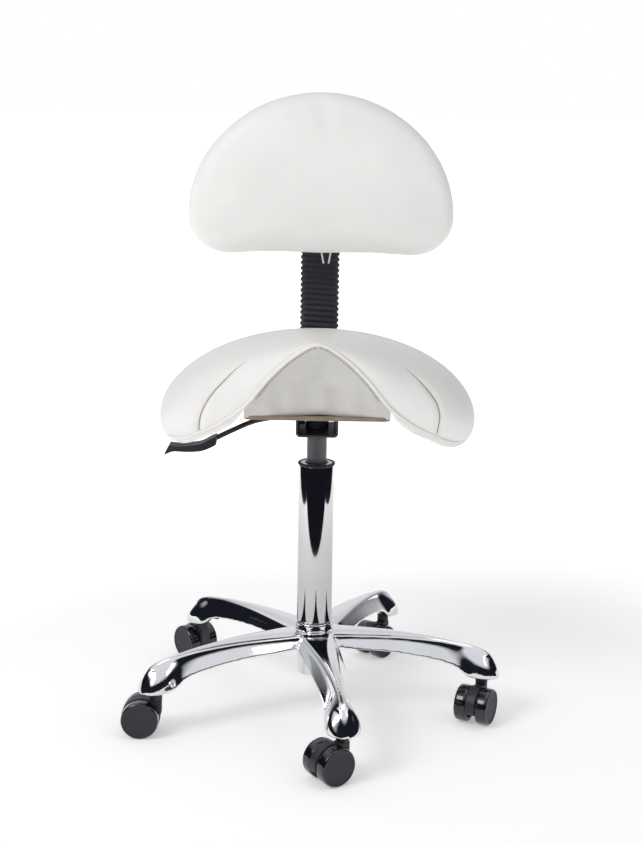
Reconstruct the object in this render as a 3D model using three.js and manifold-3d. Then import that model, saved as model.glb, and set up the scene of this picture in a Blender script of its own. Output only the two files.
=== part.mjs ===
// Saddle stool with a backrest, for dental and clinic work.
// Millimetres, +Z up. The stool faces -Y, and the swivel axis is x = 0, y = 0 until the last lines,
// which move the whole group so that the bottom centre of its box is the origin.
import * as THREE from "three";
import { mergeVertices } from "three/addons/utils/BufferGeometryUtils.js";
import Module from "manifold-3d";

const wasm = await Module();
wasm.setup();

const GAP = 0.3;
const QUARTER = Math.PI / 2;
const TURN = Math.PI * 2;

// Star base
const LEGS = 5;
const LEG_ANGLE = (9.45 * Math.PI) / 180;
const CASTER_CIRCLE = 243;
const HUB_TOP = 129;
const HUB_NECK_RADIUS = 25.5;
const HUB_TUBE_RADIUS = 24;
const HUB_TUBE_BOTTOM = 52;
const LEG_FOOT_BOTTOM = 63;
const STEM_RADIUS = 5.5;
const STEM_TOP = 92;
const STEM_BOTTOM = 36;
const STEM_FOOT_RADIUS = 4;
const BOSS_BOTTOM = 49.7;

// Casters
const WHEEL_RADIUS = 26;
const WHEEL_WIDTH = 17;
const WHEEL_SIDES = 20;
const HOOD_WIDTH = 14;
const CASTER_TRAIL = 21;
const AXLE_RADIUS = 4;
// The way each caster trails, as x and y, in the order of the legs.
const TRAILS = [
  [-0.82, -0.57],
  [-0.44, -0.9],
  [-0.64, -0.77],
  [-0.64, 0.77],
  [-1, 0],
];

// Gas lift
const COLUMN_RADIUS = 25;
const COLUMN_BORE = 17.5;
const COLUMN_BOTTOM = 60;
const COLUMN_TOP = 360;
const TUBE_RADIUS = 14;
const TUBE_BOTTOM = 160;
const TUBE_TAPER_START = 396;
const TUBE_TOP = 424;
const TUBE_TOP_RADIUS = 13;
const ROD_RADIUS = 5;
const BUTTON_RADIUS = 3;
const BUTTON_TOP = 427.8;

// Mechanism and board under the seat
const BOARD_BOTTOM = 444.5;
const BOARD_THICK = 5;
const BOARD_HALF_WIDTH = 98;
const BOARD_FRONT = -105;
const BOARD_REAR = 138;
const PLATE_THICK = 3;
const PLATE_HALF_WIDTH = 52;
const PLATE_FRONT = -60;
const PLATE_REAR = 70;
const CHANNEL_HALF_WIDTH = 29;
const CHANNEL_BOTTOM = 411;
const CHANNEL_FRONT = -58;
const CHANNEL_REAR = 34;
const CHANNEL_WALL = 2.5;
const PIVOT_X = -22;
const PIVOT_Z = 425.2;
const PIVOT_RADIUS = 2;
const LEVER_RADIUS = 3.5;

// Saddle
const RIDGE_Z = 547.5;
const SADDLE_HALF_WIDTH = 220;
const SADDLE_DROP = 120;
const LIP_REACH = 24;
const LIP_DROP = 30;
const WIDEST = 0.84;
const SADDLE_MIDDLE_Y = 10;
const APEX_Z = 557.5;
const APEX_Y = -163;
const FRONT_SLOPE = 0.533;
const RIDGE_SLOPE = 0.14;

// Back bar and backrest
const BAR_HALF_WIDTH = 25;
const BAR_THICK = 6;
const BAR_Z = 436.5;
const BAR_Y = 217;
const BAR_BEND = 45;
const BAR_FRONT = 55;
const BAR_TOP = 790;
const BELLOWS_BOTTOM = 500;
const BELLOWS_TOP = 702;
const CARRIER_BOTTOM = 705;
const CARRIER_TOP = 795;
const TILT_Y = 201;
const TILT_Z = 755;
// The lugs are short enough to turn past the carrier as the backrest tips.
const LUG_REACH = 4.6;
const LUG_HALF_HEIGHT = 6.5;
const PAD_HALF_WIDTH = 194;
const PAD_WIDEST_Z = 693;
const PAD_RISE = 178;
const PAD_CORNER = [60, 54.5];
const PAD_FRONT = 122;
const PAD_THICK = 57.7;

// ---------------------------------------------------------------- helpers

function finish(colour, roughness, metalness) {
  return new THREE.MeshStandardMaterial({ color: colour, roughness, metalness });
}

const chrome = () => finish(0xd8dadc, 0.08, 1);
const brightSteel = () => finish(0xb9bcc0, 0.3, 1);
const greySteel = () => finish(0x64666b, 0.45, 0.7);
const blackSteel = () => finish(0x17181b, 0.45, 0.5);
const blackPlastic = () => finish(0x1b1c21, 0.5, 0);
const whiteVinyl = () => finish(0xeceae6, 0.45, 0);
const plywood = () => finish(0x9a8268, 0.75, 0);
const rubber = () => finish(0x202127, 0.8, 0);

function makeMesh(name, geometry, material) {
  const mesh = new THREE.Mesh(geometry, material);
  mesh.name = name;
  return mesh;
}

// Solid of revolution about Z. The profile is a list of [radius, height].
function revolve(profile, sides, startAngle = 0) {
  let area = 0;
  profile.forEach(([r, z], i) => {
    const [nextR, nextZ] = profile[(i + 1) % profile.length];
    area += r * nextZ - nextR * z;
  });
  const turned = area > 0 ? profile : [...profile].reverse();
  const points = turned.map(([r, z]) => new THREE.Vector2(r, z));
  const onAxis = profile[0][0] === 0 && profile[profile.length - 1][0] === 0;
  if (!onAxis) points.push(points[0].clone());
  return new THREE.LatheGeometry(points, sides, startAngle, TURN).rotateX(QUARTER);
}

// A rod or pin along Z with small chamfers.
function pin(radius, low, high, sides = 16) {
  const edge = Math.min(0.6, radius / 4);
  const profile = [
    [0, low],
    [radius - edge, low],
    [radius, low + edge],
    [radius, high - edge],
    [radius - edge, high],
    [0, high],
  ];
  return revolve(profile, sides);
}

function toSolid(geometry) {
  const bare = geometry.clone();
  bare.deleteAttribute("normal");
  bare.deleteAttribute("uv");
  const merged = mergeVertices(bare, 1e-4);
  const vertProperties = new Float32Array(merged.attributes.position.array);
  const triVerts = new Uint32Array(merged.index.array);
  return new wasm.Manifold(new wasm.Mesh({ numProp: 3, vertProperties, triVerts }));
}

function toGeometry(solid) {
  const made = solid.getMesh();
  const geometry = new THREE.BufferGeometry();
  geometry.setAttribute("position", new THREE.BufferAttribute(made.vertProperties, 3));
  geometry.setIndex(new THREE.BufferAttribute(made.triVerts, 1));
  geometry.computeVertexNormals();
  return geometry;
}

function joinAll(geometries) {
  return geometries.map(toSolid).reduce((all, one) => all.add(one));
}

function cutAll(solid, geometries) {
  return geometries.map(toSolid).reduce((left, one) => left.subtract(one), solid);
}

function box(low, high) {
  const size = high.map((top, axis) => top - low[axis]);
  const middle = high.map((top, axis) => (top + low[axis]) / 2);
  return new THREE.BoxGeometry(...size).translate(...middle);
}

function roundedRectangle(left, bottom, right, top, radius) {
  const shape = new THREE.Shape();
  shape.moveTo(left + radius, bottom);
  shape.lineTo(right - radius, bottom);
  shape.absarc(right - radius, bottom + radius, radius, -QUARTER, 0);
  shape.lineTo(right, top - radius);
  shape.absarc(right - radius, top - radius, radius, 0, QUARTER);
  shape.lineTo(left + radius, top);
  shape.absarc(left + radius, top - radius, radius, QUARTER, Math.PI);
  shape.lineTo(left, bottom + radius);
  shape.absarc(left + radius, bottom + radius, radius, Math.PI, Math.PI + QUARTER);
  return shape;
}

function roundHole(shape, x, y, radius) {
  const hole = new THREE.Path();
  hole.absarc(x, y, radius, 0, TURN, true);
  shape.holes.push(hole);
}

function extrudeUp(shape, low, high, curveSegments = 4) {
  const settings = { depth: high - low, bevelEnabled: false, curveSegments };
  return new THREE.ExtrudeGeometry(shape, settings).translate(0, 0, low);
}

// Extrudes a shape drawn in x and z along Y, from front to rear.
function extrudeBack(shape, front, rear, curveSegments = 4) {
  const settings = { depth: rear - front, bevelEnabled: false, curveSegments };
  return new THREE.ExtrudeGeometry(shape, settings).rotateX(QUARTER).translate(0, rear, 0);
}

// Extrudes a shape drawn in y and z across X, centred.
function extrudeAcross(shape, halfWidth, curveSegments = 4) {
  const settings = { depth: halfWidth * 2, bevelEnabled: false, curveSegments };
  const geometry = new THREE.ExtrudeGeometry(shape, settings);
  const turn = new THREE.Matrix4().set(0, 0, 1, -halfWidth, 1, 0, 0, 0, 0, 1, 0, 0, 0, 0, 0, 1);
  return geometry.applyMatrix4(turn);
}

function sweepRound(points, radius, steps, sides) {
  const section = new THREE.Shape();
  for (let i = 0; i < sides; i += 1) {
    const angle = (i / sides) * TURN;
    const x = radius * Math.cos(angle);
    const y = radius * Math.sin(angle);
    if (i === 0) section.moveTo(x, y);
    else section.lineTo(x, y);
  }
  section.closePath();
  const extrudePath = new THREE.CatmullRomCurve3(points.map((p) => new THREE.Vector3(...p)));
  return new THREE.ExtrudeGeometry(section, { steps, extrudePath, bevelEnabled: false });
}

// Joins rings of the same number of points into a closed solid with flat ends.
function loft(rings) {
  const count = rings[0].length;
  const positions = rings.flat(2);
  const index = [];
  for (let r = 0; r + 1 < rings.length; r += 1) {
    for (let i = 0; i < count; i += 1) {
      const a = r * count + i;
      const b = r * count + ((i + 1) % count);
      index.push(a, b, a + count, b, b + count, a + count);
    }
  }
  const last = (rings.length - 1) * count;
  for (let i = 1; i + 1 < count; i += 1) {
    index.push(0, i + 1, i);
    index.push(last, last + i, last + i + 1);
  }
  const geometry = new THREE.BufferGeometry();
  geometry.setAttribute("position", new THREE.Float32BufferAttribute(positions, 3));
  geometry.setIndex(index);
  return geometry;
}

// Closed solid between an upper and a lower sheet, each a function of u and v from 0 to 1.
function betweenSheets(upper, lower, stepsU, stepsV) {
  const positions = [];
  const index = [];
  const at = (layer, i, j) => (layer * (stepsU + 1) + i) * (stepsV + 1) + j;
  [upper, lower].forEach((sheet) => {
    for (let i = 0; i <= stepsU; i += 1) {
      for (let j = 0; j <= stepsV; j += 1) positions.push(...sheet(i / stepsU, j / stepsV));
    }
  });
  for (let i = 0; i < stepsU; i += 1) {
    for (let j = 0; j < stepsV; j += 1) {
      const top = [at(0, i, j), at(0, i + 1, j), at(0, i + 1, j + 1), at(0, i, j + 1)];
      const low = [at(1, i, j), at(1, i + 1, j), at(1, i + 1, j + 1), at(1, i, j + 1)];
      index.push(top[0], top[2], top[1], top[0], top[3], top[2]);
      index.push(low[0], low[1], low[2], low[0], low[2], low[3]);
    }
  }
  const wall = (a, b, c, d) => index.push(a, b, c, a, c, d);
  for (let i = 0; i < stepsU; i += 1) {
    wall(at(0, i, 0), at(0, i + 1, 0), at(1, i + 1, 0), at(1, i, 0));
    wall(at(0, i + 1, stepsV), at(0, i, stepsV), at(1, i, stepsV), at(1, i + 1, stepsV));
  }
  for (let j = 0; j < stepsV; j += 1) {
    wall(at(0, 0, j + 1), at(0, 0, j), at(1, 0, j), at(1, 0, j + 1));
    wall(at(0, stepsU, j), at(0, stepsU, j + 1), at(1, stepsU, j + 1), at(1, stepsU, j));
  }
  const geometry = new THREE.BufferGeometry();
  geometry.setAttribute("position", new THREE.Float32BufferAttribute(positions, 3));
  geometry.setIndex(index);
  return geometry;
}

function lerp(a, b, t) {
  return a + (b - a) * t;
}

function smooth(low, high, value) {
  const t = Math.min(1, Math.max(0, (value - low) / (high - low)));
  return t * t * (3 - 2 * t);
}

// ---------------------------------------------------------------- star base

// Sections of one leg: distance out, top height, bottom height, half width at the top and bottom.
const LEG_SECTIONS = [
  [20, 119, 99, 24, 26],
  [60, 119.5, 99, 22, 26],
  [120, 119.5, 97, 14.5, 21],
  [175, 115, 88, 10, 16],
  [205, 110.5, 79, 9, 14.5],
  [216, 108.5, LEG_FOOT_BOTTOM, 9.5, 18],
  [232, 106.5, LEG_FOOT_BOTTOM, 10, 23],
  [246, 102, LEG_FOOT_BOTTOM, 10, 24],
  [258, 90, LEG_FOOT_BOTTOM, 9, 20],
  [267, 73, LEG_FOOT_BOTTOM, 5, 11],
];

function legRing([out, top, bottom, halfTop, halfBottom]) {
  const shoulder = lerp(bottom, top, 0.72);
  const halfShoulder = lerp(halfBottom, halfTop, 0.45);
  const rim = lerp(bottom, top, 0.12);
  return [
    [-halfBottom, bottom],
    [halfBottom, bottom],
    [halfBottom, rim],
    [halfShoulder, shoulder],
    [halfTop, top - 1.5],
    [halfTop * 0.55, top],
    [-halfTop * 0.55, top],
    [-halfTop, top - 1.5],
    [-halfShoulder, shoulder],
    [-halfBottom, rim],
  ].map(([x, z]) => [x, -out, z]);
}

function legAngle(leg) {
  return LEG_ANGLE + (leg * TURN) / LEGS;
}

function casterPlace(leg) {
  const angle = legAngle(leg);
  return [CASTER_CIRCLE * Math.sin(angle), -CASTER_CIRCLE * Math.cos(angle)];
}

function starBase() {
  const legs = [];
  for (let leg = 0; leg < LEGS; leg += 1) {
    legs.push(loft(LEG_SECTIONS.map(legRing)).rotateZ(legAngle(leg)));
  }
  const hub = revolve(
    [
      [0, HUB_TUBE_BOTTOM],
      [HUB_TUBE_RADIUS, HUB_TUBE_BOTTOM],
      [HUB_TUBE_RADIUS, 90],
      [HUB_NECK_RADIUS + 0.4, 94],
      [HUB_NECK_RADIUS, HUB_TOP],
      [0, HUB_TOP],
    ],
    24,
  );
  const bore = revolve(
    [
      [0, HUB_TUBE_BOTTOM - 5],
      [20.3, HUB_TUBE_BOTTOM - 5],
      [20.8, HUB_TOP + 5],
      [0, HUB_TOP + 5],
    ],
    24,
  );
  const sockets = [];
  for (let leg = 0; leg < LEGS; leg += 1) {
    const hole = pin(STEM_RADIUS + GAP, LEG_FOOT_BOTTOM - 5, STEM_TOP + 1, 12);
    sockets.push(hole.translate(...casterPlace(leg), 0));
  }
  const casting = cutAll(joinAll([hub, ...legs]), [bore, ...sockets]);
  return makeMesh("star_base", toGeometry(casting), chrome());
}

// ---------------------------------------------------------------- casters

// The stem is stepped: thin inside the hood, full size in the leg.
function stemProfile() {
  return [
    [0, STEM_BOTTOM],
    [STEM_FOOT_RADIUS, STEM_BOTTOM],
    [STEM_FOOT_RADIUS, BOSS_BOTTOM + 1.5],
    [STEM_RADIUS, BOSS_BOTTOM + 1.5],
    [STEM_RADIUS, STEM_TOP],
    [0, STEM_TOP],
  ];
}

function casterHood() {
  const side = new THREE.Shape();
  const rim = WHEEL_RADIUS + 0.8;
  side.absarc(0, 0, rim, -0.25, Math.PI + 0.5);
  side.lineTo(-14, -12);
  side.lineTo(6, -12);
  side.closePath();
  roundHole(side, 0, 0, AXLE_RADIUS + GAP);
  const settings = { depth: HOOD_WIDTH, bevelEnabled: false, curveSegments: 6 };
  const web = new THREE.ExtrudeGeometry(side, settings).translate(0, 0, -HOOD_WIDTH / 2);
  // The side view is drawn with x along the trail and y up, so it is stood up across the axle.
  web.rotateX(QUARTER).translate(0, 0, WHEEL_RADIUS);
  const neck = box([-29, -HOOD_WIDTH / 2, 28], [-12, HOOD_WIDTH / 2, BOSS_BOTTOM + 1]);
  const boss = revolve(
    [
      [0, BOSS_BOTTOM],
      [8, BOSS_BOTTOM],
      [8.5, BOSS_BOTTOM + 1],
      [8.5, LEG_FOOT_BOTTOM - 0.8],
      [0, LEG_FOOT_BOTTOM - 0.8],
    ],
    12,
  );
  boss.translate(-CASTER_TRAIL, 0, 0);
  const widened = (r) => (r === 0 ? 0 : r + GAP);
  const deepened = (z) => (z === STEM_BOTTOM ? z - GAP : z);
  const stemRoom = stemProfile().map(([r, z]) => [widened(r), deepened(z)]);
  const pocket = revolve(stemRoom, 12).translate(-CASTER_TRAIL, 0, 0);
  return toGeometry(cutAll(joinAll([web, neck, boss]), [pocket]));
}

// A wheel about Z with a blind bore, its outer face up.
function casterWheel() {
  const rim = WHEEL_RADIUS / Math.cos(Math.PI / WHEEL_SIDES);
  const profile = [
    [0, WHEEL_WIDTH],
    [rim - 1.5, WHEEL_WIDTH],
    [rim, WHEEL_WIDTH - 1.5],
    [rim, 0],
    [AXLE_RADIUS + GAP, 0],
    [AXLE_RADIUS + GAP, WHEEL_WIDTH - 4],
    [0, WHEEL_WIDTH - 4],
  ];
  return revolve(profile, WHEEL_SIDES, Math.PI / WHEEL_SIDES);
}

function caster(leg) {
  const group = new THREE.Group();
  const [x, y] = casterPlace(leg);
  const [trailX, trailY] = TRAILS[leg];
  group.position.set(x, y, 0);
  group.rotation.z = Math.atan2(trailY, trailX);
  const wheelSet = new THREE.Group();
  wheelSet.position.x = CASTER_TRAIL;
  group.add(wheelSet);

  wheelSet.add(makeMesh(`caster_${leg + 1}_hood`, casterHood(), blackPlastic()));
  group.add(makeMesh(`caster_${leg + 1}_stem`, revolve(stemProfile(), 12), brightSteel()));
  const reach = HOOD_WIDTH / 2 + GAP + WHEEL_WIDTH - 5;
  const axle = pin(AXLE_RADIUS, -reach, reach, 12).rotateX(QUARTER).translate(0, 0, WHEEL_RADIUS);
  wheelSet.add(makeMesh(`caster_${leg + 1}_axle`, axle, brightSteel()));
  for (const [side, label] of [
    [-1, "right"],
    [1, "left"],
  ]) {
    const wheel = casterWheel().rotateX(-side * QUARTER);
    wheel.translate(0, side * (HOOD_WIDTH / 2 + GAP), WHEEL_RADIUS);
    wheelSet.add(makeMesh(`caster_${leg + 1}_wheel_${label}`, wheel, rubber()));
  }
  return group;
}

// ---------------------------------------------------------------- gas lift

function outerColumn() {
  const profile = [
    [COLUMN_BORE, COLUMN_BOTTOM + 4],
    [ROD_RADIUS + GAP, COLUMN_BOTTOM + 4],
    [ROD_RADIUS + GAP, COLUMN_BOTTOM],
    [19.9, COLUMN_BOTTOM],
    [20.3, HUB_TOP + GAP],
    [COLUMN_RADIUS, HUB_TOP + 1],
    [COLUMN_RADIUS, COLUMN_TOP],
    [COLUMN_BORE, COLUMN_TOP],
  ];
  return makeMesh("outer_column", revolve(profile, 24), chrome());
}

function guideBush() {
  const bore = TUBE_RADIUS + GAP;
  const profile = [
    [bore, COLUMN_TOP - 78],
    [COLUMN_BORE - GAP, COLUMN_TOP - 78],
    [COLUMN_BORE - GAP, COLUMN_TOP + GAP],
    [26.5, COLUMN_TOP + GAP],
    [26.5, COLUMN_TOP + 2.2],
    [25.5, COLUMN_TOP + 3.2],
    [bore, COLUMN_TOP + 3.2],
  ];
  return makeMesh("guide_bush", revolve(profile, 24), blackPlastic());
}

function thrustBearing() {
  const profile = [
    [ROD_RADIUS + GAP, COLUMN_BOTTOM + 4 + GAP],
    [12, COLUMN_BOTTOM + 4 + GAP],
    [12, COLUMN_BOTTOM + 9],
    [ROD_RADIUS + GAP, COLUMN_BOTTOM + 9],
  ];
  return makeMesh("thrust_bearing", revolve(profile, 18), brightSteel());
}

function retainingClip() {
  const profile = [
    [3.8, COLUMN_BOTTOM - 3],
    [9, COLUMN_BOTTOM - 3],
    [9, COLUMN_BOTTOM - GAP],
    [3.8, COLUMN_BOTTOM - GAP],
  ];
  return makeMesh("retaining_clip", revolve(profile, 16), brightSteel());
}

function pistonRod() {
  const bearingTop = COLUMN_BOTTOM + 9 + GAP;
  const profile = [
    [0, COLUMN_BOTTOM - 6],
    [3.5, COLUMN_BOTTOM - 6],
    [3.5, COLUMN_BOTTOM],
    [ROD_RADIUS, COLUMN_BOTTOM + 1],
    [ROD_RADIUS, bearingTop],
    [8, bearingTop],
    [8, bearingTop + 4],
    [ROD_RADIUS, bearingTop + 4],
    [ROD_RADIUS, 318],
    [10.6, 318],
    [10.6, 330],
    [0, 330],
  ];
  return makeMesh("piston_rod", revolve(profile, 14), brightSteel());
}

function pressureTube() {
  const profile = [
    [0, 404],
    [11, 404],
    [11, TUBE_BOTTOM + 10],
    [ROD_RADIUS + GAP, TUBE_BOTTOM + 10],
    [ROD_RADIUS + GAP, TUBE_BOTTOM],
    [TUBE_RADIUS, TUBE_BOTTOM],
    [TUBE_RADIUS, TUBE_TAPER_START],
    [TUBE_TOP_RADIUS, TUBE_TOP],
    [BUTTON_RADIUS + GAP, TUBE_TOP],
    [BUTTON_RADIUS + GAP, 411],
    [0, 411],
  ];
  return makeMesh("pressure_tube", revolve(profile, 20), greySteel());
}

function valveButton() {
  return makeMesh("valve_button", pin(BUTTON_RADIUS, 414, BUTTON_TOP, 12), brightSteel());
}

// ---------------------------------------------------------------- under the seat

const BOLT_PLACES = [
  [-40, -48],
  [40, -48],
  [-40, 54],
  [40, 54],
];

function mechanismPlate() {
  const outline = roundedRectangle(-PLATE_HALF_WIDTH, PLATE_FRONT, PLATE_HALF_WIDTH, PLATE_REAR, 10);
  BOLT_PLACES.forEach(([x, y]) => roundHole(outline, x, y, 4.3));
  const top = BOARD_BOTTOM - GAP;
  const plate = extrudeUp(outline, top - PLATE_THICK, top);
  return makeMesh("mechanism_plate", plate, blackSteel());
}

function mechanismChannel() {
  const plateBottom = BOARD_BOTTOM - GAP - PLATE_THICK;
  const half = CHANNEL_HALF_WIDTH;
  const inner = half - CHANNEL_WALL;
  const floor = CHANNEL_BOTTOM + CHANNEL_WALL;
  const top = plateBottom - GAP;
  const section = new THREE.Shape();
  section.moveTo(-half, top);
  section.lineTo(-half, CHANNEL_BOTTOM + 6);
  section.absarc(-half + 6, CHANNEL_BOTTOM + 6, 6, Math.PI, Math.PI + QUARTER);
  section.lineTo(half - 6, CHANNEL_BOTTOM);
  section.absarc(half - 6, CHANNEL_BOTTOM + 6, 6, -QUARTER, 0);
  section.lineTo(half, top);
  section.lineTo(inner, top);
  section.lineTo(inner, floor + 3.5);
  section.lineTo(inner - 3.5, floor);
  section.lineTo(-inner + 3.5, floor);
  section.lineTo(-inner, floor + 3.5);
  section.lineTo(-inner, top);
  section.closePath();
  const bent = extrudeBack(section, CHANNEL_FRONT, CHANNEL_REAR);
  const ears = [-1, 1].map((side) => {
    const near = side * 6.2;
    const far = side * 8.7;
    return box([-inner - 1, Math.min(near, far), 418], [-17, Math.max(near, far), 430.5]);
  });
  const socketHole = pin(16.3, CHANNEL_BOTTOM - 2, floor + 2, 20);
  const leverSlot = box([-half - 2, -8, 423], [-inner + 1.5, 4.5, top + 2]);
  const pinHole = pin(PIVOT_RADIUS + GAP, -12, 12, 10).rotateX(QUARTER).translate(PIVOT_X, 0, PIVOT_Z);
  const solid = cutAll(joinAll([bent, ...ears]), [socketHole, leverSlot, pinHole]);
  return makeMesh("mechanism_channel", toGeometry(solid), blackSteel());
}

function taperSocket() {
  const slope = (TUBE_RADIUS - TUBE_TOP_RADIUS) / (TUBE_TOP - TUBE_TAPER_START);
  const boreAt = (z) => TUBE_RADIUS - (z - TUBE_TAPER_START) * slope + GAP;
  const low = 406;
  const high = 422;
  const profile = [
    [boreAt(low), low],
    [16, low],
    [16, high],
    [boreAt(high), high],
  ];
  return makeMesh("taper_socket", revolve(profile, 30), blackSteel());
}

function leverPivotPin() {
  const geometry = pin(PIVOT_RADIUS, -11, 11, 10).rotateX(QUARTER).translate(PIVOT_X, 0, PIVOT_Z);
  return makeMesh("lever_pivot_pin", geometry, brightSteel());
}

function plateBolt(number, [x, y]) {
  const head = BOARD_BOTTOM - GAP - PLATE_THICK - GAP;
  const profile = [
    [0, head - 5],
    [6.5, head - 5],
    [6.5, head],
    [4, head],
    [4, BOARD_BOTTOM + BOARD_THICK - 1],
    [0, BOARD_BOTTOM + BOARD_THICK - 1],
  ];
  const geometry = revolve(profile, 12).translate(x, y, 0);
  return makeMesh(`plate_bolt_${number}`, geometry, brightSteel());
}

function seatBoard() {
  const outline = roundedRectangle(-BOARD_HALF_WIDTH, BOARD_FRONT, BOARD_HALF_WIDTH, BOARD_REAR, 12);
  BOLT_PLACES.forEach(([x, y]) => roundHole(outline, x, y, 4.3));
  const board = extrudeUp(outline, BOARD_BOTTOM, BOARD_BOTTOM + BOARD_THICK);
  return makeMesh("seat_board", board, plywood());
}

// Hat-shaped guide that holds the flat bar up against the board.
function barGuide() {
  const top = BOARD_BOTTOM - GAP;
  const floor = BAR_Z - BAR_THICK / 2 - GAP;
  const section = new THREE.Shape();
  section.moveTo(-42, top);
  section.lineTo(-42, top - 3);
  section.lineTo(-29, top - 3);
  section.lineTo(-29, floor - 3);
  section.lineTo(29, floor - 3);
  section.lineTo(29, top - 3);
  section.lineTo(42, top - 3);
  section.lineTo(42, top);
  section.lineTo(26, top);
  section.lineTo(26, floor);
  section.lineTo(-26, floor);
  section.lineTo(-26, top);
  section.closePath();
  const hat = toSolid(extrudeBack(section, 80, 125));
  const screwHole = pin(4.4, floor - 6, floor + 3, 12).translate(0, 102, 0);
  return makeMesh("bar_guide", toGeometry(hat.subtract(toSolid(screwHole))), blackSteel());
}

// ---------------------------------------------------------------- release lever

function leverArm() {
  const route = [
    [7, 0, 431.9],
    [-12, 0, 431.9],
    [-26, -1, 431.1],
    [-50, -6, 428.6],
    [-85, -18, 424.5],
    [-115, -27, 413.5],
    [-141, -32, 401.5],
  ];
  return makeMesh("lever_arm", sweepRound(route, LEVER_RADIUS, 16, 8), blackSteel());
}

// Flat paddle with a flared tip, drawn from the front and given its width along Y.
function leverHandle() {
  const side = new THREE.Shape();
  side.moveTo(-138, 407.5);
  side.lineTo(-146, 404);
  side.lineTo(-158, 396.5);
  side.lineTo(-176, 394);
  side.lineTo(-194, 394);
  side.lineTo(-203, 396);
  side.lineTo(-210, 380.5);
  side.lineTo(-198, 386);
  side.lineTo(-176, 385);
  side.lineTo(-158, 386.5);
  side.lineTo(-146, 391.5);
  side.lineTo(-138, 396);
  side.closePath();
  const paddle = toSolid(extrudeBack(side, -48, -22));
  const socketRoute = [
    [-130, -30.1, 406.9],
    [-136, -31.1, 403.9],
    [-143.5, -32.5, 400.3],
  ];
  const socket = toSolid(sweepRound(socketRoute, LEVER_RADIUS + GAP, 3, 8));
  return makeMesh("lever_handle", toGeometry(paddle.subtract(socket)), blackPlastic());
}

// ---------------------------------------------------------------- saddle

function splineThrough(points) {
  return new THREE.CatmullRomCurve3(points.map((p) => new THREE.Vector3(...p)), false, "centripetal");
}

// The curves below run from the ridge to the tip of one wing, as x, y, z.
function frontDepth(z) {
  return APEX_Y + FRONT_SLOPE * (APEX_Z - z);
}

const frontEdge = splineThrough([
  [0, frontDepth(APEX_Z), APEX_Z],
  [31, frontDepth(541), 541],
  [63, frontDepth(509), 509],
  [95, frontDepth(467), 467],
  [130, frontDepth(438), 438],
  [156, -86, 424],
  [175, -71, 413],
  [190, -56, 408],
  [203, -42, 411],
  [212, -27, 419],
]);

const rearEdge = splineThrough([
  [0, 186, 457],
  [60, 184, 455],
  [115, 172, 446],
  [160, 145, 425],
  [185, 105, 404],
]);

const innerArch = splineThrough(
  [
    [0, 503],
    [60, 484],
    [100, 459],
    [140, 433],
    [175, 408],
    [196, RIDGE_Z - SADDLE_DROP - LIP_DROP],
  ].map(([x, z]) => [x, SADDLE_MIDDLE_Y, z]),
);

function middleArch(wing) {
  const low = RIDGE_Z - SADDLE_DROP;
  if (wing <= WIDEST) {
    const angle = (wing / WIDEST) * QUARTER;
    const x = SADDLE_HALF_WIDTH * Math.sin(angle);
    return [x, SADDLE_MIDDLE_Y, low + SADDLE_DROP * Math.cos(angle)];
  }
  const angle = ((wing - WIDEST) / (1 - WIDEST)) * QUARTER;
  const x = SADDLE_HALF_WIDTH - LIP_REACH * (1 - Math.cos(angle));
  return [x, SADDLE_MIDDLE_Y, low - LIP_DROP * Math.sin(angle)];
}

function cubic(a, b, c, d, t) {
  const s = 1 - t;
  return a.map((_, i) => s * s * s * a[i] + 3 * s * s * t * b[i] + 3 * s * t * t * c[i] + t * t * t * d[i]);
}

// Upper skin of the saddle, u from front to rear and v from the left wing to the right.
function saddleTop(u, v) {
  const across = v * 2 - 1;
  const wing = Math.abs(across);
  const side = Math.sign(across);
  const middle = middleArch(wing);
  const slope = RIDGE_SLOPE * (1 - wing);
  let point;
  if (u <= 0.5) {
    const edge = frontEdge.getPointAt(wing).toArray();
    const rise = 16 * (1 - wing);
    const rollZ = lerp(edge[2], middle[2], 0.8) + rise;
    // Near the tip the edge turns back round the wing, so the skin is led over a shorter way.
    const tip = smooth(0.6, 1, wing);
    const roll = [lerp(edge[0], middle[0], 0.6), edge[1] - 14 + 8 * tip, rollZ];
    const reach = lerp(78, (middle[1] - edge[1]) * 0.45, tip);
    const ahead = [middle[0], middle[1] - reach, middle[2] + slope * reach];
    point = cubic(edge, roll, ahead, middle, u * 2);
  } else {
    const edge = rearEdge.getPointAt(wing).toArray();
    const behind = [middle[0], middle[1] + 70, middle[2] - slope * 70];
    const roll = [lerp(edge[0], middle[0], 0.8), edge[1] + 8, lerp(edge[2], middle[2], 0.96)];
    point = cubic(middle, behind, roll, edge, u * 2 - 1);
  }
  return [side * point[0], point[1], point[2]];
}

// Lower skin, which meets the upper one all round its edge.
function saddleUnder(u, v) {
  const across = v * 2 - 1;
  const wing = Math.abs(across);
  const side = Math.sign(across);
  const front = frontEdge.getPointAt(wing).toArray();
  const rear = rearEdge.getPointAt(wing).toArray();
  const middle = innerArch.getPointAt(wing).toArray();
  const held = middle.map((value, i) => 2 * value - (front[i] + rear[i]) / 2);
  const s = 1 - u;
  const point = front.map((value, i) => s * s * value + 2 * s * u * held[i] + u * u * rear[i]);
  const toEdge = smooth(0.8, 1, wing);
  const rim = saddleTop(u, v);
  return [
    lerp(side * point[0], rim[0], toEdge),
    lerp(point[1], rim[1], toEdge),
    lerp(point[2], rim[2], toEdge),
  ];
}

function seatCushion() {
  return makeMesh("seat_cushion", betweenSheets(saddleTop, saddleUnder, 12, 16), whiteVinyl());
}

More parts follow.
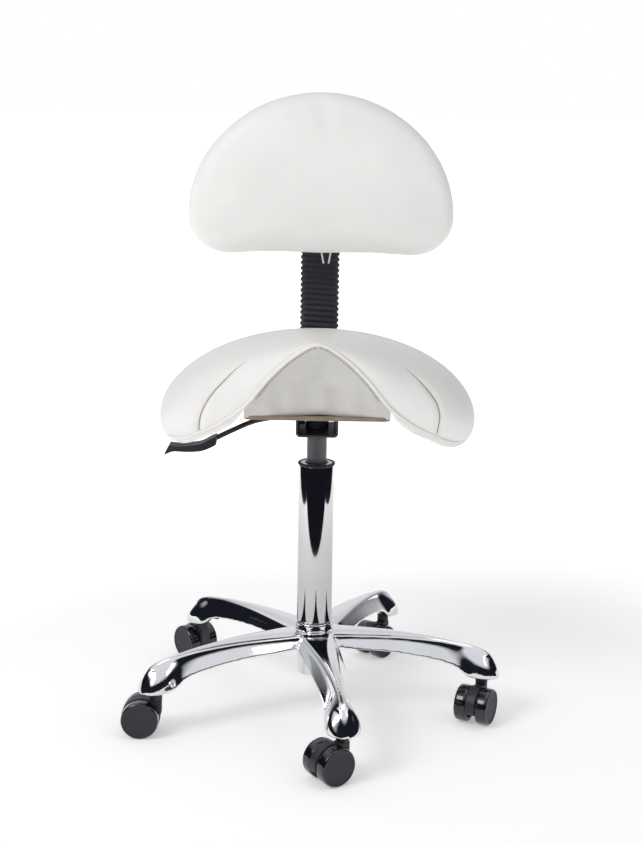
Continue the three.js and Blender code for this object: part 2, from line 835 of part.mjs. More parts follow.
// Moulded shell that the foam is glued to, between the cushion and the board.
function seatShell() {
  const thick = 3.5;
  const clearance = 1.8;
  const level = (drop) => (u, v) => {
    const point = saddleUnder(lerp(0.16, 0.8, u), lerp(0.21, 0.79, v));
    return [point[0], point[1], point[2] - drop];
  };
  const shell = betweenSheets(level(clearance), level(clearance + thick), 6, 8);
  return makeMesh("seat_shell", shell, blackPlastic());
}

// Stretched cover under the pommel, down to the front edge of the board.
function frontPanel() {
  const lean = Math.atan(FRONT_SLOPE);
  const inset = 3.5;
  const thick = 1.6;
  const floor = BOARD_BOTTOM + BOARD_THICK + 1;
  const along = (z) => (z - APEX_Z) / Math.cos(lean);
  const outline = new THREE.Shape();
  const edge = [0.02, 0.13, 0.25, 0.35].map((t) => frontEdge.getPointAt(t));
  outline.moveTo(-BOARD_HALF_WIDTH + 3, along(floor));
  outline.lineTo(BOARD_HALF_WIDTH - 3, along(floor));
  [...edge].reverse().forEach((p) => outline.lineTo(Math.max(p.x - inset, 1), along(p.z - inset)));
  edge.forEach((p) => outline.lineTo(-Math.max(p.x - inset, 1), along(p.z - inset)));
  outline.closePath();
  const settings = { depth: thick, bevelEnabled: false };
  const geometry = new THREE.ExtrudeGeometry(outline, settings).translate(0, 0, -thick - 1);
  geometry.rotateX(QUARTER + lean).translate(0, APEX_Y, APEX_Z);
  return makeMesh("front_panel", geometry, whiteVinyl());
}

// ---------------------------------------------------------------- back bar and backrest

function backBar() {
  const half = BAR_THICK / 2;
  const centreY = BAR_Y - BAR_BEND;
  const centreZ = BAR_Z + BAR_BEND;
  const side = new THREE.Shape();
  side.moveTo(BAR_FRONT, BAR_Z - half);
  side.lineTo(centreY, BAR_Z - half);
  side.absarc(centreY, centreZ, BAR_BEND + half, -QUARTER, 0);
  side.lineTo(BAR_Y + half, BAR_TOP);
  side.lineTo(BAR_Y - half, BAR_TOP);
  side.lineTo(BAR_Y - half, centreZ);
  side.absarc(centreY, centreZ, BAR_BEND - half, 0, -QUARTER, true);
  side.lineTo(BAR_FRONT, BAR_Z + half);
  side.closePath();
  return makeMesh("back_bar", extrudeAcross(side, BAR_HALF_WIDTH, 8), blackSteel());
}

function bellows() {
  const outline = roundedRectangle(-28.5, BAR_Y - 12, 28.5, BAR_Y + 12, 8);
  const slot = new THREE.Path();
  const half = BAR_HALF_WIDTH + 0.8;
  const deep = BAR_THICK / 2 + 0.8;
  slot.moveTo(-half, BAR_Y - deep);
  slot.lineTo(-half, BAR_Y + deep);
  slot.lineTo(half, BAR_Y + deep);
  slot.lineTo(half, BAR_Y - deep);
  slot.closePath();
  outline.holes.push(slot);
  return makeMesh("bellows", extrudeUp(outline, BELLOWS_BOTTOM, BELLOWS_TOP), rubber());
}

// Round clamp knob about Z with its screw pointing up from z = 0.
function clampKnob(radius, height, screwLength) {
  const profile = [
    [0, -height],
    [radius * 0.7, -height],
    [radius, -height * 0.75],
    [radius, -height * 0.25],
    [radius * 0.6, 0],
    [4, 0],
    [4, screwLength],
    [0, screwLength],
  ];
  return revolve(profile, 20);
}

function depthKnob() {
  const base = BAR_Z - BAR_THICK / 2 - GAP - 3 - 4;
  const geometry = clampKnob(17, 18, 6.5).translate(0, 102, base);
  return makeMesh("depth_knob", geometry, blackPlastic());
}

function carrierSleeve() {
  const outer = box([-31, BAR_Y - 10, CARRIER_BOTTOM], [31, BAR_Y + 10, CARRIER_TOP]);
  const ears = [-1, 1].map((side) => {
    const near = side * 20;
    const far = side * 24;
    const low = [Math.min(near, far), TILT_Y - 5.5, TILT_Z - 10];
    const high = [Math.max(near, far), BAR_Y - 9, TILT_Z + 10];
    return box(low, high);
  });
  const half = BAR_HALF_WIDTH + 0.4;
  const deep = BAR_THICK / 2 + 0.4;
  const slot = box([-half, BAR_Y - deep, CARRIER_BOTTOM - 5], [half, BAR_Y + deep, CARRIER_TOP + 5]);
  const pinHole = pin(3.3, -40, 40, 12).rotateY(QUARTER).translate(0, TILT_Y, TILT_Z);
  const screwHole = pin(4.4, 0, 14, 12).rotateX(-QUARTER).translate(0, BAR_Y + 1, 735);
  const solid = cutAll(joinAll([outer, ...ears]), [slot, pinHole, screwHole]);
  return makeMesh("carrier_sleeve", toGeometry(solid), blackPlastic());
}

function heightKnob() {
  const geometry = clampKnob(19, 22, 10).rotateX(QUARTER).translate(0, BAR_Y + 13.5, 735);
  return makeMesh("height_knob", geometry, blackPlastic());
}

function tiltPin() {
  const geometry = pin(3, -27, 27, 12).rotateY(QUARTER).translate(0, TILT_Y, TILT_Z);
  return makeMesh("tilt_pin", geometry, brightSteel());
}

// Outline of the backrest in x and z: half an ellipse over two round lobes and a shallow arch.
function padOutline(inset) {
  const halfWidth = PAD_HALF_WIDTH - inset;
  const [cornerX, cornerZ] = PAD_CORNER.map((size) => size - inset * 0.4);
  const bottom = PAD_WIDEST_Z - cornerZ;
  const shape = new THREE.Shape();
  shape.moveTo(halfWidth, PAD_WIDEST_Z);
  shape.absellipse(0, PAD_WIDEST_Z, halfWidth, PAD_RISE - inset, 0, Math.PI);
  shape.absellipse(-halfWidth + cornerX, PAD_WIDEST_Z, cornerX, cornerZ, Math.PI, Math.PI + QUARTER);
  shape.quadraticCurveTo(-62, bottom + 7, 0, bottom + 2.5);
  shape.quadraticCurveTo(62, bottom + 7, halfWidth - cornerX, bottom);
  shape.absellipse(halfWidth - cornerX, PAD_WIDEST_Z, cornerX, cornerZ, -QUARTER, 0);
  return shape;
}

function backrestCushion() {
  const edge = 12;
  const settings = {
    depth: PAD_THICK - 2 * edge,
    bevelEnabled: true,
    bevelThickness: edge,
    bevelSize: edge,
    bevelSegments: 2,
    curveSegments: 7,
  };
  const geometry = new THREE.ExtrudeGeometry(padOutline(edge), settings);
  geometry.rotateX(QUARTER).translate(0, PAD_FRONT + PAD_THICK - edge, 0);
  return makeMesh("backrest_cushion", geometry, whiteVinyl());
}

function backrestBoard() {
  const front = PAD_FRONT + PAD_THICK + GAP;
  const geometry = extrudeBack(padOutline(16), front, front + 9, 8);
  return makeMesh("backrest_board", geometry, plywood());
}

function backrestRearCover() {
  const front = PAD_FRONT + PAD_THICK + 9 + 2 * GAP;
  const outline = padOutline(20);
  const window = new THREE.Path();
  window.moveTo(-45, TILT_Z - 40);
  window.lineTo(-45, TILT_Z + 40);
  window.lineTo(45, TILT_Z + 40);
  window.lineTo(45, TILT_Z - 40);
  window.closePath();
  outline.holes.push(window);
  const geometry = extrudeBack(outline, front, front + 2.5, 8);
  return makeMesh("backrest_rear_cover", geometry, whiteVinyl());
}

// Steel plate on the back of the board with two lugs on the tilt pin.
function backrestBracket() {
  const front = PAD_FRONT + PAD_THICK + 9 + 2 * GAP;
  const plate = box([-40, front, TILT_Z - 35], [40, front + 2.5, TILT_Z + 35]);
  const lugs = [-1, 1].map((side) => {
    const near = side * 15;
    const far = side * 19;
    const low = [Math.min(near, far), front + 1, TILT_Z - LUG_HALF_HEIGHT];
    const high = [Math.max(near, far), TILT_Y + LUG_REACH, TILT_Z + LUG_HALF_HEIGHT];
    return box(low, high);
  });
  const pinHole = pin(3.3, -40, 40, 12).rotateY(QUARTER).translate(0, TILT_Y, TILT_Z);
  const solid = cutAll(joinAll([plate, ...lugs]), [pinHole]);
  return makeMesh("backrest_bracket", toGeometry(solid), blackSteel());
}

const TIE_RADIUS = 1.25;
// The two ends of the cover's drawstring hang below the middle of the pad.
const TIES = {
  backrest_tie_left: [
    [0.5, 193.5, 656],
    [0.8, 193.6, 648],
    [2, 192.5, 636],
    [5, 191, 621],
  ],
  backrest_tie_right: [
    [16.5, 193.5, 656],
    [16.3, 193.6, 648],
    [15, 192.5, 636],
    [12.5, 191, 621],
  ],
};

function backrestTie(name) {
  return makeMesh(name, sweepRound(TIES[name], TIE_RADIUS, 8, 8), whiteVinyl());
}

// ---------------------------------------------------------------- assembly

const stool = new THREE.Group();

const base = new THREE.Group();
base.add(starBase(), outerColumn(), guideBush(), thrustBearing(), retainingClip());
for (let leg = 0; leg < LEGS; leg += 1) base.add(caster(leg));
stool.add(base);

const lift = new THREE.Group();
lift.add(pistonRod(), pressureTube(), valveButton());
stool.add(lift);

const underSeat = new THREE.Group();
underSeat.add(mechanismPlate(), mechanismChannel(), taperSocket(), leverPivotPin(), barGuide());
BOLT_PLACES.forEach((place, i) => underSeat.add(plateBolt(i + 1, place)));
underSeat.add(leverArm(), leverHandle(), depthKnob());
stool.add(underSeat);

const seat = new THREE.Group();
seat.add(seatBoard(), seatShell(), seatCushion(), frontPanel());
stool.add(seat);

const back = new THREE.Group();
back.add(backBar(), bellows(), carrierSleeve(), heightKnob(), tiltPin());
back.add(backrestBracket(), backrestBoard(), backrestRearCover(), backrestCushion());
Object.keys(TIES).forEach((name) => back.add(backrestTie(name)));
stool.add(back);

// The bottom centre of the whole stool's box becomes the origin.
stool.updateMatrixWorld(true);
const bounds = new THREE.Box3().setFromObject(stool, true);
const middle = bounds.getCenter(new THREE.Vector3());
stool.position.set(-middle.x, -middle.y, -bounds.min.z);

export default stool;
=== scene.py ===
import math

import bmesh
import bpy
import numpy as np
from mathutils import Euler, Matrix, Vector


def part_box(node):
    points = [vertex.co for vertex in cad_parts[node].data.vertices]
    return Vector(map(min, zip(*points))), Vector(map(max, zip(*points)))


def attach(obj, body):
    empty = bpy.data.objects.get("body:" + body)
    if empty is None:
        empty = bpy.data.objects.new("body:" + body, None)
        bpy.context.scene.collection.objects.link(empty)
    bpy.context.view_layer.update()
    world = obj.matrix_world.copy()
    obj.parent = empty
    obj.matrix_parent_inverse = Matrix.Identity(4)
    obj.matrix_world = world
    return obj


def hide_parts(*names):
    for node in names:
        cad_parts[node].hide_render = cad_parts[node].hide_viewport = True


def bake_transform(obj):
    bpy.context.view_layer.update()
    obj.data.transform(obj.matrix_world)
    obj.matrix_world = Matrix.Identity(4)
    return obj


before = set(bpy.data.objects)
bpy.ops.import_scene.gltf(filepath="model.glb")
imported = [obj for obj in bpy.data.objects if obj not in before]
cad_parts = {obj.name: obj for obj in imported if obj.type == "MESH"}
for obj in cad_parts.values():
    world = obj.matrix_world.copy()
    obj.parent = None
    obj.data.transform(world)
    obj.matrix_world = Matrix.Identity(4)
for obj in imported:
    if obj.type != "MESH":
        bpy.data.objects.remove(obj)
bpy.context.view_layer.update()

# Lengths below are millimetres about the swivel axis, +Z up, with the stool facing -Y.
# to_row() turns them into metres in the shared frame.
MM = 0.001
QUARTER = math.pi / 2
TURN = math.pi * 2
column_low, column_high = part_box("outer_column")
AXIS = np.array([(column_low.x + column_high.x) / 2, (column_low.y + column_high.y) / 2, 0.0])


def to_row(points):
    return np.asarray(points, float) * MM + AXIS


# ---------------------------------------------------------------- camera

CAMERA_PLACE = (5.2, -2063.0, 872.2)
CAMERA_DOWN = math.radians(12.34)
CAMERA_ROLL = math.radians(0.96)
SENSOR = 36.0
LENS = 84.66

camera_data = bpy.data.cameras.new("camera")
camera_data.sensor_fit = "HORIZONTAL"
camera_data.sensor_width = SENSOR
camera_data.lens = LENS
camera = bpy.data.objects.new("camera", camera_data)
bpy.context.scene.collection.objects.link(camera)
camera.location = to_row(CAMERA_PLACE)
aim = Euler((QUARTER - CAMERA_DOWN, 0, 0))
aim.rotate_axis("Z", CAMERA_ROLL)
camera.rotation_euler = aim
bpy.context.scene.camera = camera


# ---------------------------------------------------------------- materials

def add_noise(nodes, links, vector, scale, detail=3.0, roughness=0.5):
    noise = nodes.new("ShaderNodeTexNoise")
    noise.inputs["Scale"].default_value = scale
    noise.inputs["Detail"].default_value = detail
    noise.inputs["Roughness"].default_value = roughness
    links.new(vector, noise.inputs["Vector"])
    return noise.outputs["Fac"]


def to_range(nodes, links, value, low, high, from_low=0.3, from_high=0.7):
    spread = nodes.new("ShaderNodeMapRange")
    spread.inputs["From Min"].default_value = from_low
    spread.inputs["From Max"].default_value = from_high
    spread.inputs["To Min"].default_value = low
    spread.inputs["To Max"].default_value = high
    links.new(value, spread.inputs["Value"])
    return spread.outputs["Result"]


def mix_colour(nodes, links, factor, first, second):
    mix = nodes.new("ShaderNodeMix")
    mix.data_type = "RGBA"
    links.new(factor, mix.inputs["Factor"])
    for value, socket in ((first, mix.inputs["A"]), (second, mix.inputs["B"])):
        if isinstance(value, tuple):
            socket.default_value = (*value, 1)
        else:
            links.new(value, socket)
    return mix.outputs["Result"]


def edge_wear(nodes, links, low, high):
    """0 on flats and hollows, 1 on sharp outer edges."""
    geometry = nodes.new("ShaderNodeNewGeometry")
    return to_range(nodes, links, geometry.outputs["Pointiness"], 0, 1, low, high)


def surface(name, colour, other, roughness, metallic=0.0, grain=0.8, depth=0.02, cells=False,
            patches=60.0, worn=None, wear_from=(0.53, 0.62), coat=0.0, specular=0.5):
    """Material with two mottled tones, a grain of that size in bump, uneven gloss and worn edges.

    grain, depth and patches are in millimetres; roughness is its lowest and highest value."""
    made = bpy.data.materials.new(name)
    made.use_nodes = True
    nodes, links = made.node_tree.nodes, made.node_tree.links
    shader = nodes["Principled BSDF"]
    shader.inputs["Metallic"].default_value = metallic
    shader.inputs["Coat Weight"].default_value = coat
    shader.inputs["Coat Roughness"].default_value = 0.12
    shader.inputs["Specular IOR Level"].default_value = specular
    place = nodes.new("ShaderNodeTexCoord").outputs["Object"]
    tone = to_range(nodes, links, add_noise(nodes, links, place, 1000 / patches, 4), 0, 1)
    base = mix_colour(nodes, links, tone, colour, other)
    if worn:
        base = mix_colour(nodes, links, edge_wear(nodes, links, *wear_from), base, worn)
    links.new(base, shader.inputs["Base Color"])
    fine = add_noise(nodes, links, place, 1000 / grain, 2)
    smear = add_noise(nodes, links, place, 4000 / patches, 5, 0.6)
    links.new(to_range(nodes, links, smear, *roughness), shader.inputs["Roughness"])
    height = fine
    if cells:
        cell = nodes.new("ShaderNodeTexVoronoi")
        cell.feature = "SMOOTH_F1"
        cell.inputs["Scale"].default_value = 1000 / (grain * 1.6)
        cell.inputs["Smoothness"].default_value = 0.35
        links.new(place, cell.inputs["Vector"])
        blend = nodes.new("ShaderNodeMath")
        blend.operation = "ADD"
        links.new(cell.outputs["Distance"], blend.inputs[0])
        links.new(fine, blend.inputs[1])
        height = blend.outputs[0]
    bump = nodes.new("ShaderNodeBump")
    bump.inputs["Strength"].default_value = 1.0
    bump.inputs["Distance"].default_value = depth * MM
    links.new(height, bump.inputs["Height"])
    links.new(bump.outputs["Normal"], shader.inputs["Normal"])
    return made


def plywood_surface():
    """Brown board whose plies show as bands across its thickness."""
    made = surface("plywood", (0.36, 0.27, 0.20), (0.44, 0.34, 0.26), (0.65, 0.85), grain=0.5, depth=0.08)
    nodes, links = made.node_tree.nodes, made.node_tree.links
    shader = nodes["Principled BSDF"]
    place = nodes.new("ShaderNodeTexCoord").outputs["Object"]
    stretch = nodes.new("ShaderNodeMapping")
    stretch.inputs["Scale"].default_value = (30, 300, 1)
    links.new(place, stretch.inputs["Vector"])
    streaks = add_noise(nodes, links, stretch.outputs["Vector"], 1.0, 4, 0.6)
    plies = nodes.new("ShaderNodeTexWave")
    plies.bands_direction = "Z"
    plies.inputs["Scale"].default_value = 130
    plies.inputs["Distortion"].default_value = 0.6
    links.new(place, plies.inputs["Vector"])
    old = shader.inputs["Base Color"].links[0].from_socket
    grained = mix_colour(nodes, links, to_range(nodes, links, streaks, 0, 0.6), old, (0.12, 0.08, 0.055))
    share = to_range(nodes, links, plies.outputs["Fac"], 0, 0.5)
    links.new(mix_colour(nodes, links, share, grained, (0.10, 0.065, 0.045)), shader.inputs["Base Color"])
    return made


CHROME = surface("chrome", (0.50, 0.505, 0.51), (0.56, 0.56, 0.56), (0.035, 0.07), 1.0,
                 grain=9, depth=0.012, patches=90)
CAST_CHROME = surface("cast_chrome", (0.68, 0.69, 0.70), (0.76, 0.765, 0.77), (0.04, 0.11), 1.0,
                      grain=14, depth=0.05, patches=70)
BRIGHT_STEEL = surface("bright_steel", (0.50, 0.51, 0.53), (0.62, 0.62, 0.64), (0.22, 0.38), 1.0,
                       grain=0.5, depth=0.01, patches=20)
GREY_STEEL = surface("grey_steel", (0.115, 0.12, 0.13), (0.14, 0.145, 0.155), (0.32, 0.45), 0.35,
                     grain=0.6, depth=0.01, patches=40, worn=(0.3, 0.3, 0.31))
BLACK_STEEL = surface("black_steel", (0.012, 0.013, 0.017), (0.02, 0.021, 0.026), (0.32, 0.5), 0.1,
                      grain=0.5, depth=0.03, patches=30, worn=(0.09, 0.09, 0.1), coat=0.2)
BLACK_PLASTIC = surface("black_plastic", (0.016, 0.017, 0.023), (0.024, 0.025, 0.032), (0.4, 0.55),
                        grain=0.6, depth=0.03, patches=35, worn=(0.05, 0.05, 0.06))
WHEEL_FACE = surface("wheel_face", (0.016, 0.017, 0.027), (0.021, 0.022, 0.033), (0.5, 0.62),
                     grain=0.4, depth=0.03, patches=15, worn=(0.07, 0.07, 0.08))
WHEEL_RIM = surface("wheel_rim", (0.004, 0.004, 0.008), (0.007, 0.007, 0.011), (0.08, 0.16),
                    grain=1.5, depth=0.01, patches=12, coat=0.4)
BELLOWS_RUBBER = surface("bellows_rubber", (0.016, 0.017, 0.025), (0.024, 0.025, 0.034), (0.42, 0.6),
                         grain=0.7, depth=0.05, patches=18, worn=(0.06, 0.06, 0.07))
LEATHERETTE = surface("leatherette", (0.80, 0.785, 0.765), (0.835, 0.82, 0.80), (0.42, 0.54),
                      grain=0.9, depth=0.035, cells=True, patches=80, specular=0.4)
# The pommel panel is the same leatherette as the cover, painted darker: painted shade for the shade under
# the pommel and wings.
PANEL_SHADED_LEATHERETTE = surface("panel_leatherette_painted_shade", (0.54, 0.525, 0.505), (0.60, 0.585, 0.565), (0.55, 0.7),
                      grain=0.8, depth=0.05, cells=True, patches=30, specular=0.3)
PIPING = surface("piping", (0.78, 0.765, 0.74), (0.83, 0.815, 0.79), (0.4, 0.5),
                 grain=0.7, depth=0.03, cells=True, patches=10)
THREAD = surface("thread", (0.27, 0.255, 0.235), (0.34, 0.325, 0.30), (0.7, 0.85), grain=0.25, depth=0.05,
                 patches=5, specular=0.2)
TIE_CORD = surface("tie_cord", (0.80, 0.79, 0.76), (0.72, 0.71, 0.68), (0.75, 0.9), grain=0.35,
                   depth=0.12, patches=4, specular=0.2)
PLYWOOD = plywood_surface()


# ---------------------------------------------------------------- mesh helpers

def make_piece(name, points, faces, looks, sharp=35.0, face_looks=None):
    """A mesh piece from points in millimetres; face_looks gives each face the number of its material."""
    mesh = bpy.data.meshes.new(name)
    mesh.from_pydata(to_row(points).tolist(), [], [list(map(int, face)) for face in faces])
    materials = looks if isinstance(looks, (list, tuple)) else [looks]
    for one in materials:
        mesh.materials.append(one)
    if face_looks is not None:
        mesh.polygons.foreach_set("material_index", list(face_looks))
    worked = bmesh.new()
    worked.from_mesh(mesh)
    bmesh.ops.remove_doubles(worked, verts=worked.verts, dist=1e-6)
    bmesh.ops.recalc_face_normals(worked, faces=worked.faces)
    worked.to_mesh(mesh)
    worked.free()
    mesh.shade_smooth()
    mesh.set_sharp_from_angle(angle=math.radians(sharp))
    piece = bpy.data.objects.new(name, mesh)
    bpy.context.scene.collection.objects.link(piece)
    return piece


def settle(piece, body, slot, *nodes):
    """Fixes a finished piece to a body and hides the CAD nodes that it stands for; slot is not used."""
    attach(piece, body)
    if nodes:
        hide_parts(*nodes)
    return piece


def soften_edges(piece, width, segments=3, angle=32.0):
    bevel = piece.modifiers.new("edges", "BEVEL")
    bevel.width = width * MM
    bevel.segments = segments
    bevel.limit_method = "ANGLE"
    bevel.angle_limit = math.radians(angle)
    bevel.harden_normals = False
    return piece


def subdivide(piece, levels=1):
    smoother = piece.modifiers.new("smooth", "SUBSURF")
    smoother.levels = levels
    smoother.render_levels = levels
    return piece


def apply_modifiers(piece):
    evaluated = piece.evaluated_get(bpy.context.evaluated_depsgraph_get())
    fresh = bpy.data.meshes.new_from_object(evaluated)
    old = piece.data
    piece.modifiers.clear()
    piece.data = fresh
    bpy.data.meshes.remove(old)
    return piece


def join_pieces(name, parts):
    """One object from several, keeping each one's materials."""
    bpy.context.view_layer.update()
    for part in parts:
        apply_modifiers(part)
    with bpy.context.temp_override(active_object=parts[0], selected_editable_objects=parts):
        bpy.ops.object.join()
    parts[0].name = name
    parts[0].data.name = name
    return parts[0]


def grid_faces(rows, columns, wrap_rows=False, wrap_columns=False):
    faces = []
    for i in range(rows if wrap_rows else rows - 1):
        for j in range(columns if wrap_columns else columns - 1):
            next_i, next_j = (i + 1) % rows, (j + 1) % columns
            near, far = i * columns, next_i * columns
            faces.append((near + j, far + j, far + next_j, near + next_j))
    return faces


def end_caps(rings, sides):
    """One face for the first ring and one for the last."""
    return [tuple(range(sides)), tuple(range((rings - 1) * sides, rings * sides))]


def capped_loft(name, rings, looks, sharp=60.0):
    """A solid through closed rings of points, with a flat cap at each end."""
    sides = len(rings[0])
    faces = grid_faces(len(rings), sides, False, True) + end_caps(len(rings), sides)
    return make_piece(name, np.concatenate(rings), faces, looks, sharp)


def two_skins(name, first, second, looks, sharp=60.0):
    """A closed sheet from two grids of points of the same size, joined all round their rims."""
    rows, columns = np.asarray(first).shape[:2]
    count = rows * columns
    faces = grid_faces(rows, columns)
    faces += [tuple(k + count for k in reversed(face)) for face in faces]
    for i in range(rows - 1):
        a, b = i * columns, (i + 1) * columns
        faces.append((a, a + count, b + count, b))
        a, b = a + columns - 1, b + columns - 1
        faces.append((a, b, b + count, a + count))
    for j in range(columns - 1):
        faces.append((j, j + 1, j + 1 + count, j + count))
        a = (rows - 1) * columns + j
        faces.append((a, a + count, a + 1 + count, a + 1))
    points = np.concatenate([np.reshape(first, (-1, 3)), np.reshape(second, (-1, 3))])
    return make_piece(name, points, faces, looks, sharp)


def rounded(corners, radius, steps=4, closed=False):
    """The polyline with each corner cut by a small curve; radius is one length or one for each corner."""
    corners = np.asarray(corners, float)
    count = len(corners)
    radii = np.broadcast_to(radius, (count,))
    out = []
    for i, corner in enumerate(corners):
        if not closed and i in (0, count - 1):
            out.append(corner)
            continue
        before, after = corners[i - 1] - corner, corners[(i + 1) % count] - corner
        reach_b, reach_a = np.linalg.norm(before), np.linalg.norm(after)
        cut = min(radii[i], reach_b * 0.45, reach_a * 0.45)
        if cut < 0.02:
            out.append(corner)
            continue
        start, end = corner + before / reach_b * cut, corner + after / reach_a * cut
        for t in np.linspace(0, 1, steps + 1):
            out.append((1 - t) ** 2 * start + 2 * t * (1 - t) * corner + t * t * end)
    return np.array(out)


def revolve(name, profile, looks, sides=96, edge=0.6, closed=True, face_look=None, lobes=None):
    """Solid of revolution about Z from [radius, height] corners, with each corner rounded.

    face_look(radius, height) numbers a face's material, and lobes(angle) scales the radius."""
    profile = rounded(profile, edge, closed=closed)
    angles = np.arange(sides) * TURN / sides
    scale = np.array([lobes(a) if lobes else 1.0 for a in angles])
    rings = [np.stack([r * scale * np.cos(angles), r * scale * np.sin(angles), np.full(sides, z)], 1)
             for r, z in profile]
    faces = grid_faces(len(rings), sides, closed, True)
    numbers = None
    if face_look:
        ends = np.concatenate([profile, profile[:1]]) if closed else profile
        spans = [(ends[i] + ends[i + 1]) / 2 for i in range(len(ends) - 1)]
        numbers = [face_look(*span) for span in spans for _ in range(sides)]
    return make_piece(name, np.concatenate(rings), faces, looks, face_looks=numbers)


def prism(name, outline, low, high, looks, axis="z", edge=0.8, sharp=35.0):
    """A slab with that outline, from low to high along the axis, with its rims rounded."""
    outline = np.asarray(outline, float)
    rings = []
    for level in (low, high):
        third = np.full(len(outline), level)
        columns = {"z": (outline[:, 0], outline[:, 1], third),
                   "y": (outline[:, 0], third, outline[:, 1]),
                   "x": (third, outline[:, 0], outline[:, 1])}[axis]
        rings.append(np.stack(columns, 1))
    count = len(outline)
    faces = grid_faces(2, count, False, True) + [tuple(range(count)), tuple(range(count, 2 * count))]
    piece = make_piece(name, np.concatenate(rings), faces, looks, sharp)
    return soften_edges(piece, edge) if edge else piece


def rounded_box(low, high, corner, steps=5):
    """Outline of a rectangle with round corners."""
    (left, bottom), (right, top) = low, high
    return rounded([(left, bottom), (right, bottom), (right, top), (left, top)], corner, steps, True)


def smooth_line(points, steps=12):
    """Catmull-Rom curve through the points."""
    points = np.asarray(points, float)
    ends = np.concatenate([[2 * points[0] - points[1]], points, [2 * points[-1] - points[-2]]])
    out = []
    for i in range(1, len(ends) - 2):
        a, b, c, d = ends[i - 1:i + 3]
        for t in np.arange(steps) / steps:
            out.append(0.5 * (2 * b + (c - a) * t + (2 * a - 5 * b + 4 * c - d) * t ** 2
                              + (3 * b - a - 3 * c + d) * t ** 3))
    out.append(points[-1])
    return np.array(out)


def even(line, count):
    """The same line with its points evenly spaced."""
    line = np.asarray(line, float)
    along = np.concatenate([[0], np.cumsum(np.linalg.norm(np.diff(line, axis=0), axis=1))])
    at = np.linspace(0, along[-1], count)
    return np.stack([np.interp(at, along, line[:, k]) for k in range(3)], 1)


def tube(name, line, radius, looks, sides=12, closed=False, squeeze=1.0):
    """A round cord along a line, with domed ends; radius may differ from point to point."""
    line = np.asarray(line, float)
    count = len(line)
    radii = np.broadcast_to(radius, (count,)).copy()
    ahead = np.gradient(line, axis=0)
    if closed:
        ahead = np.roll(line, -1, 0) - np.roll(line, 1, 0)
    ahead /= np.linalg.norm(ahead, axis=1)[:, None]
    normal = np.cross(ahead[0], (0.0, 0.0, 1.0))
    if np.linalg.norm(normal) < 0.1:
        normal = np.cross(ahead[0], (0.0, 1.0, 0.0))
    rings = []
    angles = np.arange(sides) * TURN / sides
    for i in range(count):
        normal = normal - ahead[i] * (normal @ ahead[i])
        normal /= np.linalg.norm(normal)
        side = np.cross(ahead[i], normal)
        ring = np.outer(np.cos(angles), normal) + np.outer(np.sin(angles), side) * squeeze
        rings.append(line[i] + ring * radii[i])
    if not closed:
        first = line[0] - ahead[0] * radii[0] * 0.5 + (rings[0] - line[0]) * 0.6
        last = line[-1] + ahead[-1] * radii[-1] * 0.5 + (rings[-1] - line[-1]) * 0.6
        rings = [first, *rings, last]
    points = np.concatenate(rings)
    faces = grid_faces(len(rings), sides, closed, True)
    if not closed:
        faces += end_caps(len(rings), sides)
    return make_piece(name, points, faces, looks, 60)


def shift_piece(piece, spin=0.0, offset=(0, 0, 0)):
    """Turns a piece about the swivel axis, then moves it, inside its mesh."""
    co = np.array([v.co for v in piece.data.vertices], float) - AXIS
    c, s = math.cos(spin), math.sin(spin)
    turned = np.stack([co[:, 0] * c - co[:, 1] * s, co[:, 0] * s + co[:, 1] * c, co[:, 2]], 1)
    turned += np.asarray(offset, float) * MM + AXIS
    piece.data.vertices.foreach_set("co", turned.astype(np.float32).ravel())
    piece.data.update()
    return piece


UPRIGHT = ((1, 0, 0), (0, 1, 0), (0, 0, 1))
TOP_TO_REAR = ((1, 0, 0), (0, 0, 1), (0, -1, 0))
TOP_TO_FRONT = ((1, 0, 0), (0, 0, -1), (0, 1, 0))


def lay_over(piece, turn, offset=(0, 0, 0)):
    """Turns a piece about the origin by one of the turns above, then moves it, inside its mesh."""
    co = (np.array([v.co for v in piece.data.vertices], float) - AXIS) / MM
    moved = to_row(co @ np.array(turn, float).T + np.asarray(offset, float))
    piece.data.vertices.foreach_set("co", moved.astype(np.float32).ravel())
    piece.data.update()
    return piece


def lerp(a, b, t):
    return a + (b - a) * t


def smooth_step(low, high, value):
    t = np.clip((value - low) / (high - low), 0, 1)
    return t * t * (3 - 2 * t)


# ---------------------------------------------------------------- star base

LEGS = 5
LEG_ANGLE = math.radians(9.45)
CASTER_CIRCLE = 243.0
HUB_TOP = 129.0
LEG_FOOT_BOTTOM = 63.0
STEM_RADIUS = 5.5
CASTING_VOXEL = 1.5

# One leg: distance out, top height, bottom height, half width of the ridge and of the lower edge.
LEG_SECTIONS = [
    (22, 118.5, 98, 23, 30),
    (40, 119, 98.5, 22.5, 30),
    (60, 119.5, 98, 20.5, 30),
    (120, 119.5, 96, 14, 26.5),
    (175, 115.5, 88, 8.5, 22),
    (205, 111, 79, 6.5, 20),
    (220, 108.5, 68, 6, 21.5),
    (232, 106, 64, 6, 23),
    (246, 101, LEG_FOOT_BOTTOM, 6.5, 24),
    (256, 92, LEG_FOOT_BOTTOM, 6, 21.5),
    (262.5, 81, LEG_FOOT_BOTTOM, 5.5, 17),
    (266, 72, LEG_FOOT_BOTTOM, 5, 12),
    (268, 65.5, LEG_FOOT_BOTTOM, 4, 8),
]

# The space cut out under a leg, in the same columns. It reaches below the leg so that it stays open.
HOLLOW_SECTIONS = [
    (48, 114, 80, 16, 24),
    (120, 114.5, 80, 9, 20),
    (175, 110.5, 70, 4.5, 15),
    (207, 105, 50, 4, 13),
    (222, 101, 40, 4, 14),
    (238, 96, 40, 4, 17),
    (249, 88, 40, 4, 16),
    (256, 76, 40, 3, 9),
]
# The toe cap swells from the first of these distances to the second.
TOE_CAP = (203, 236)


def leg_angle(leg):
    return LEG_ANGLE + leg * TURN / LEGS


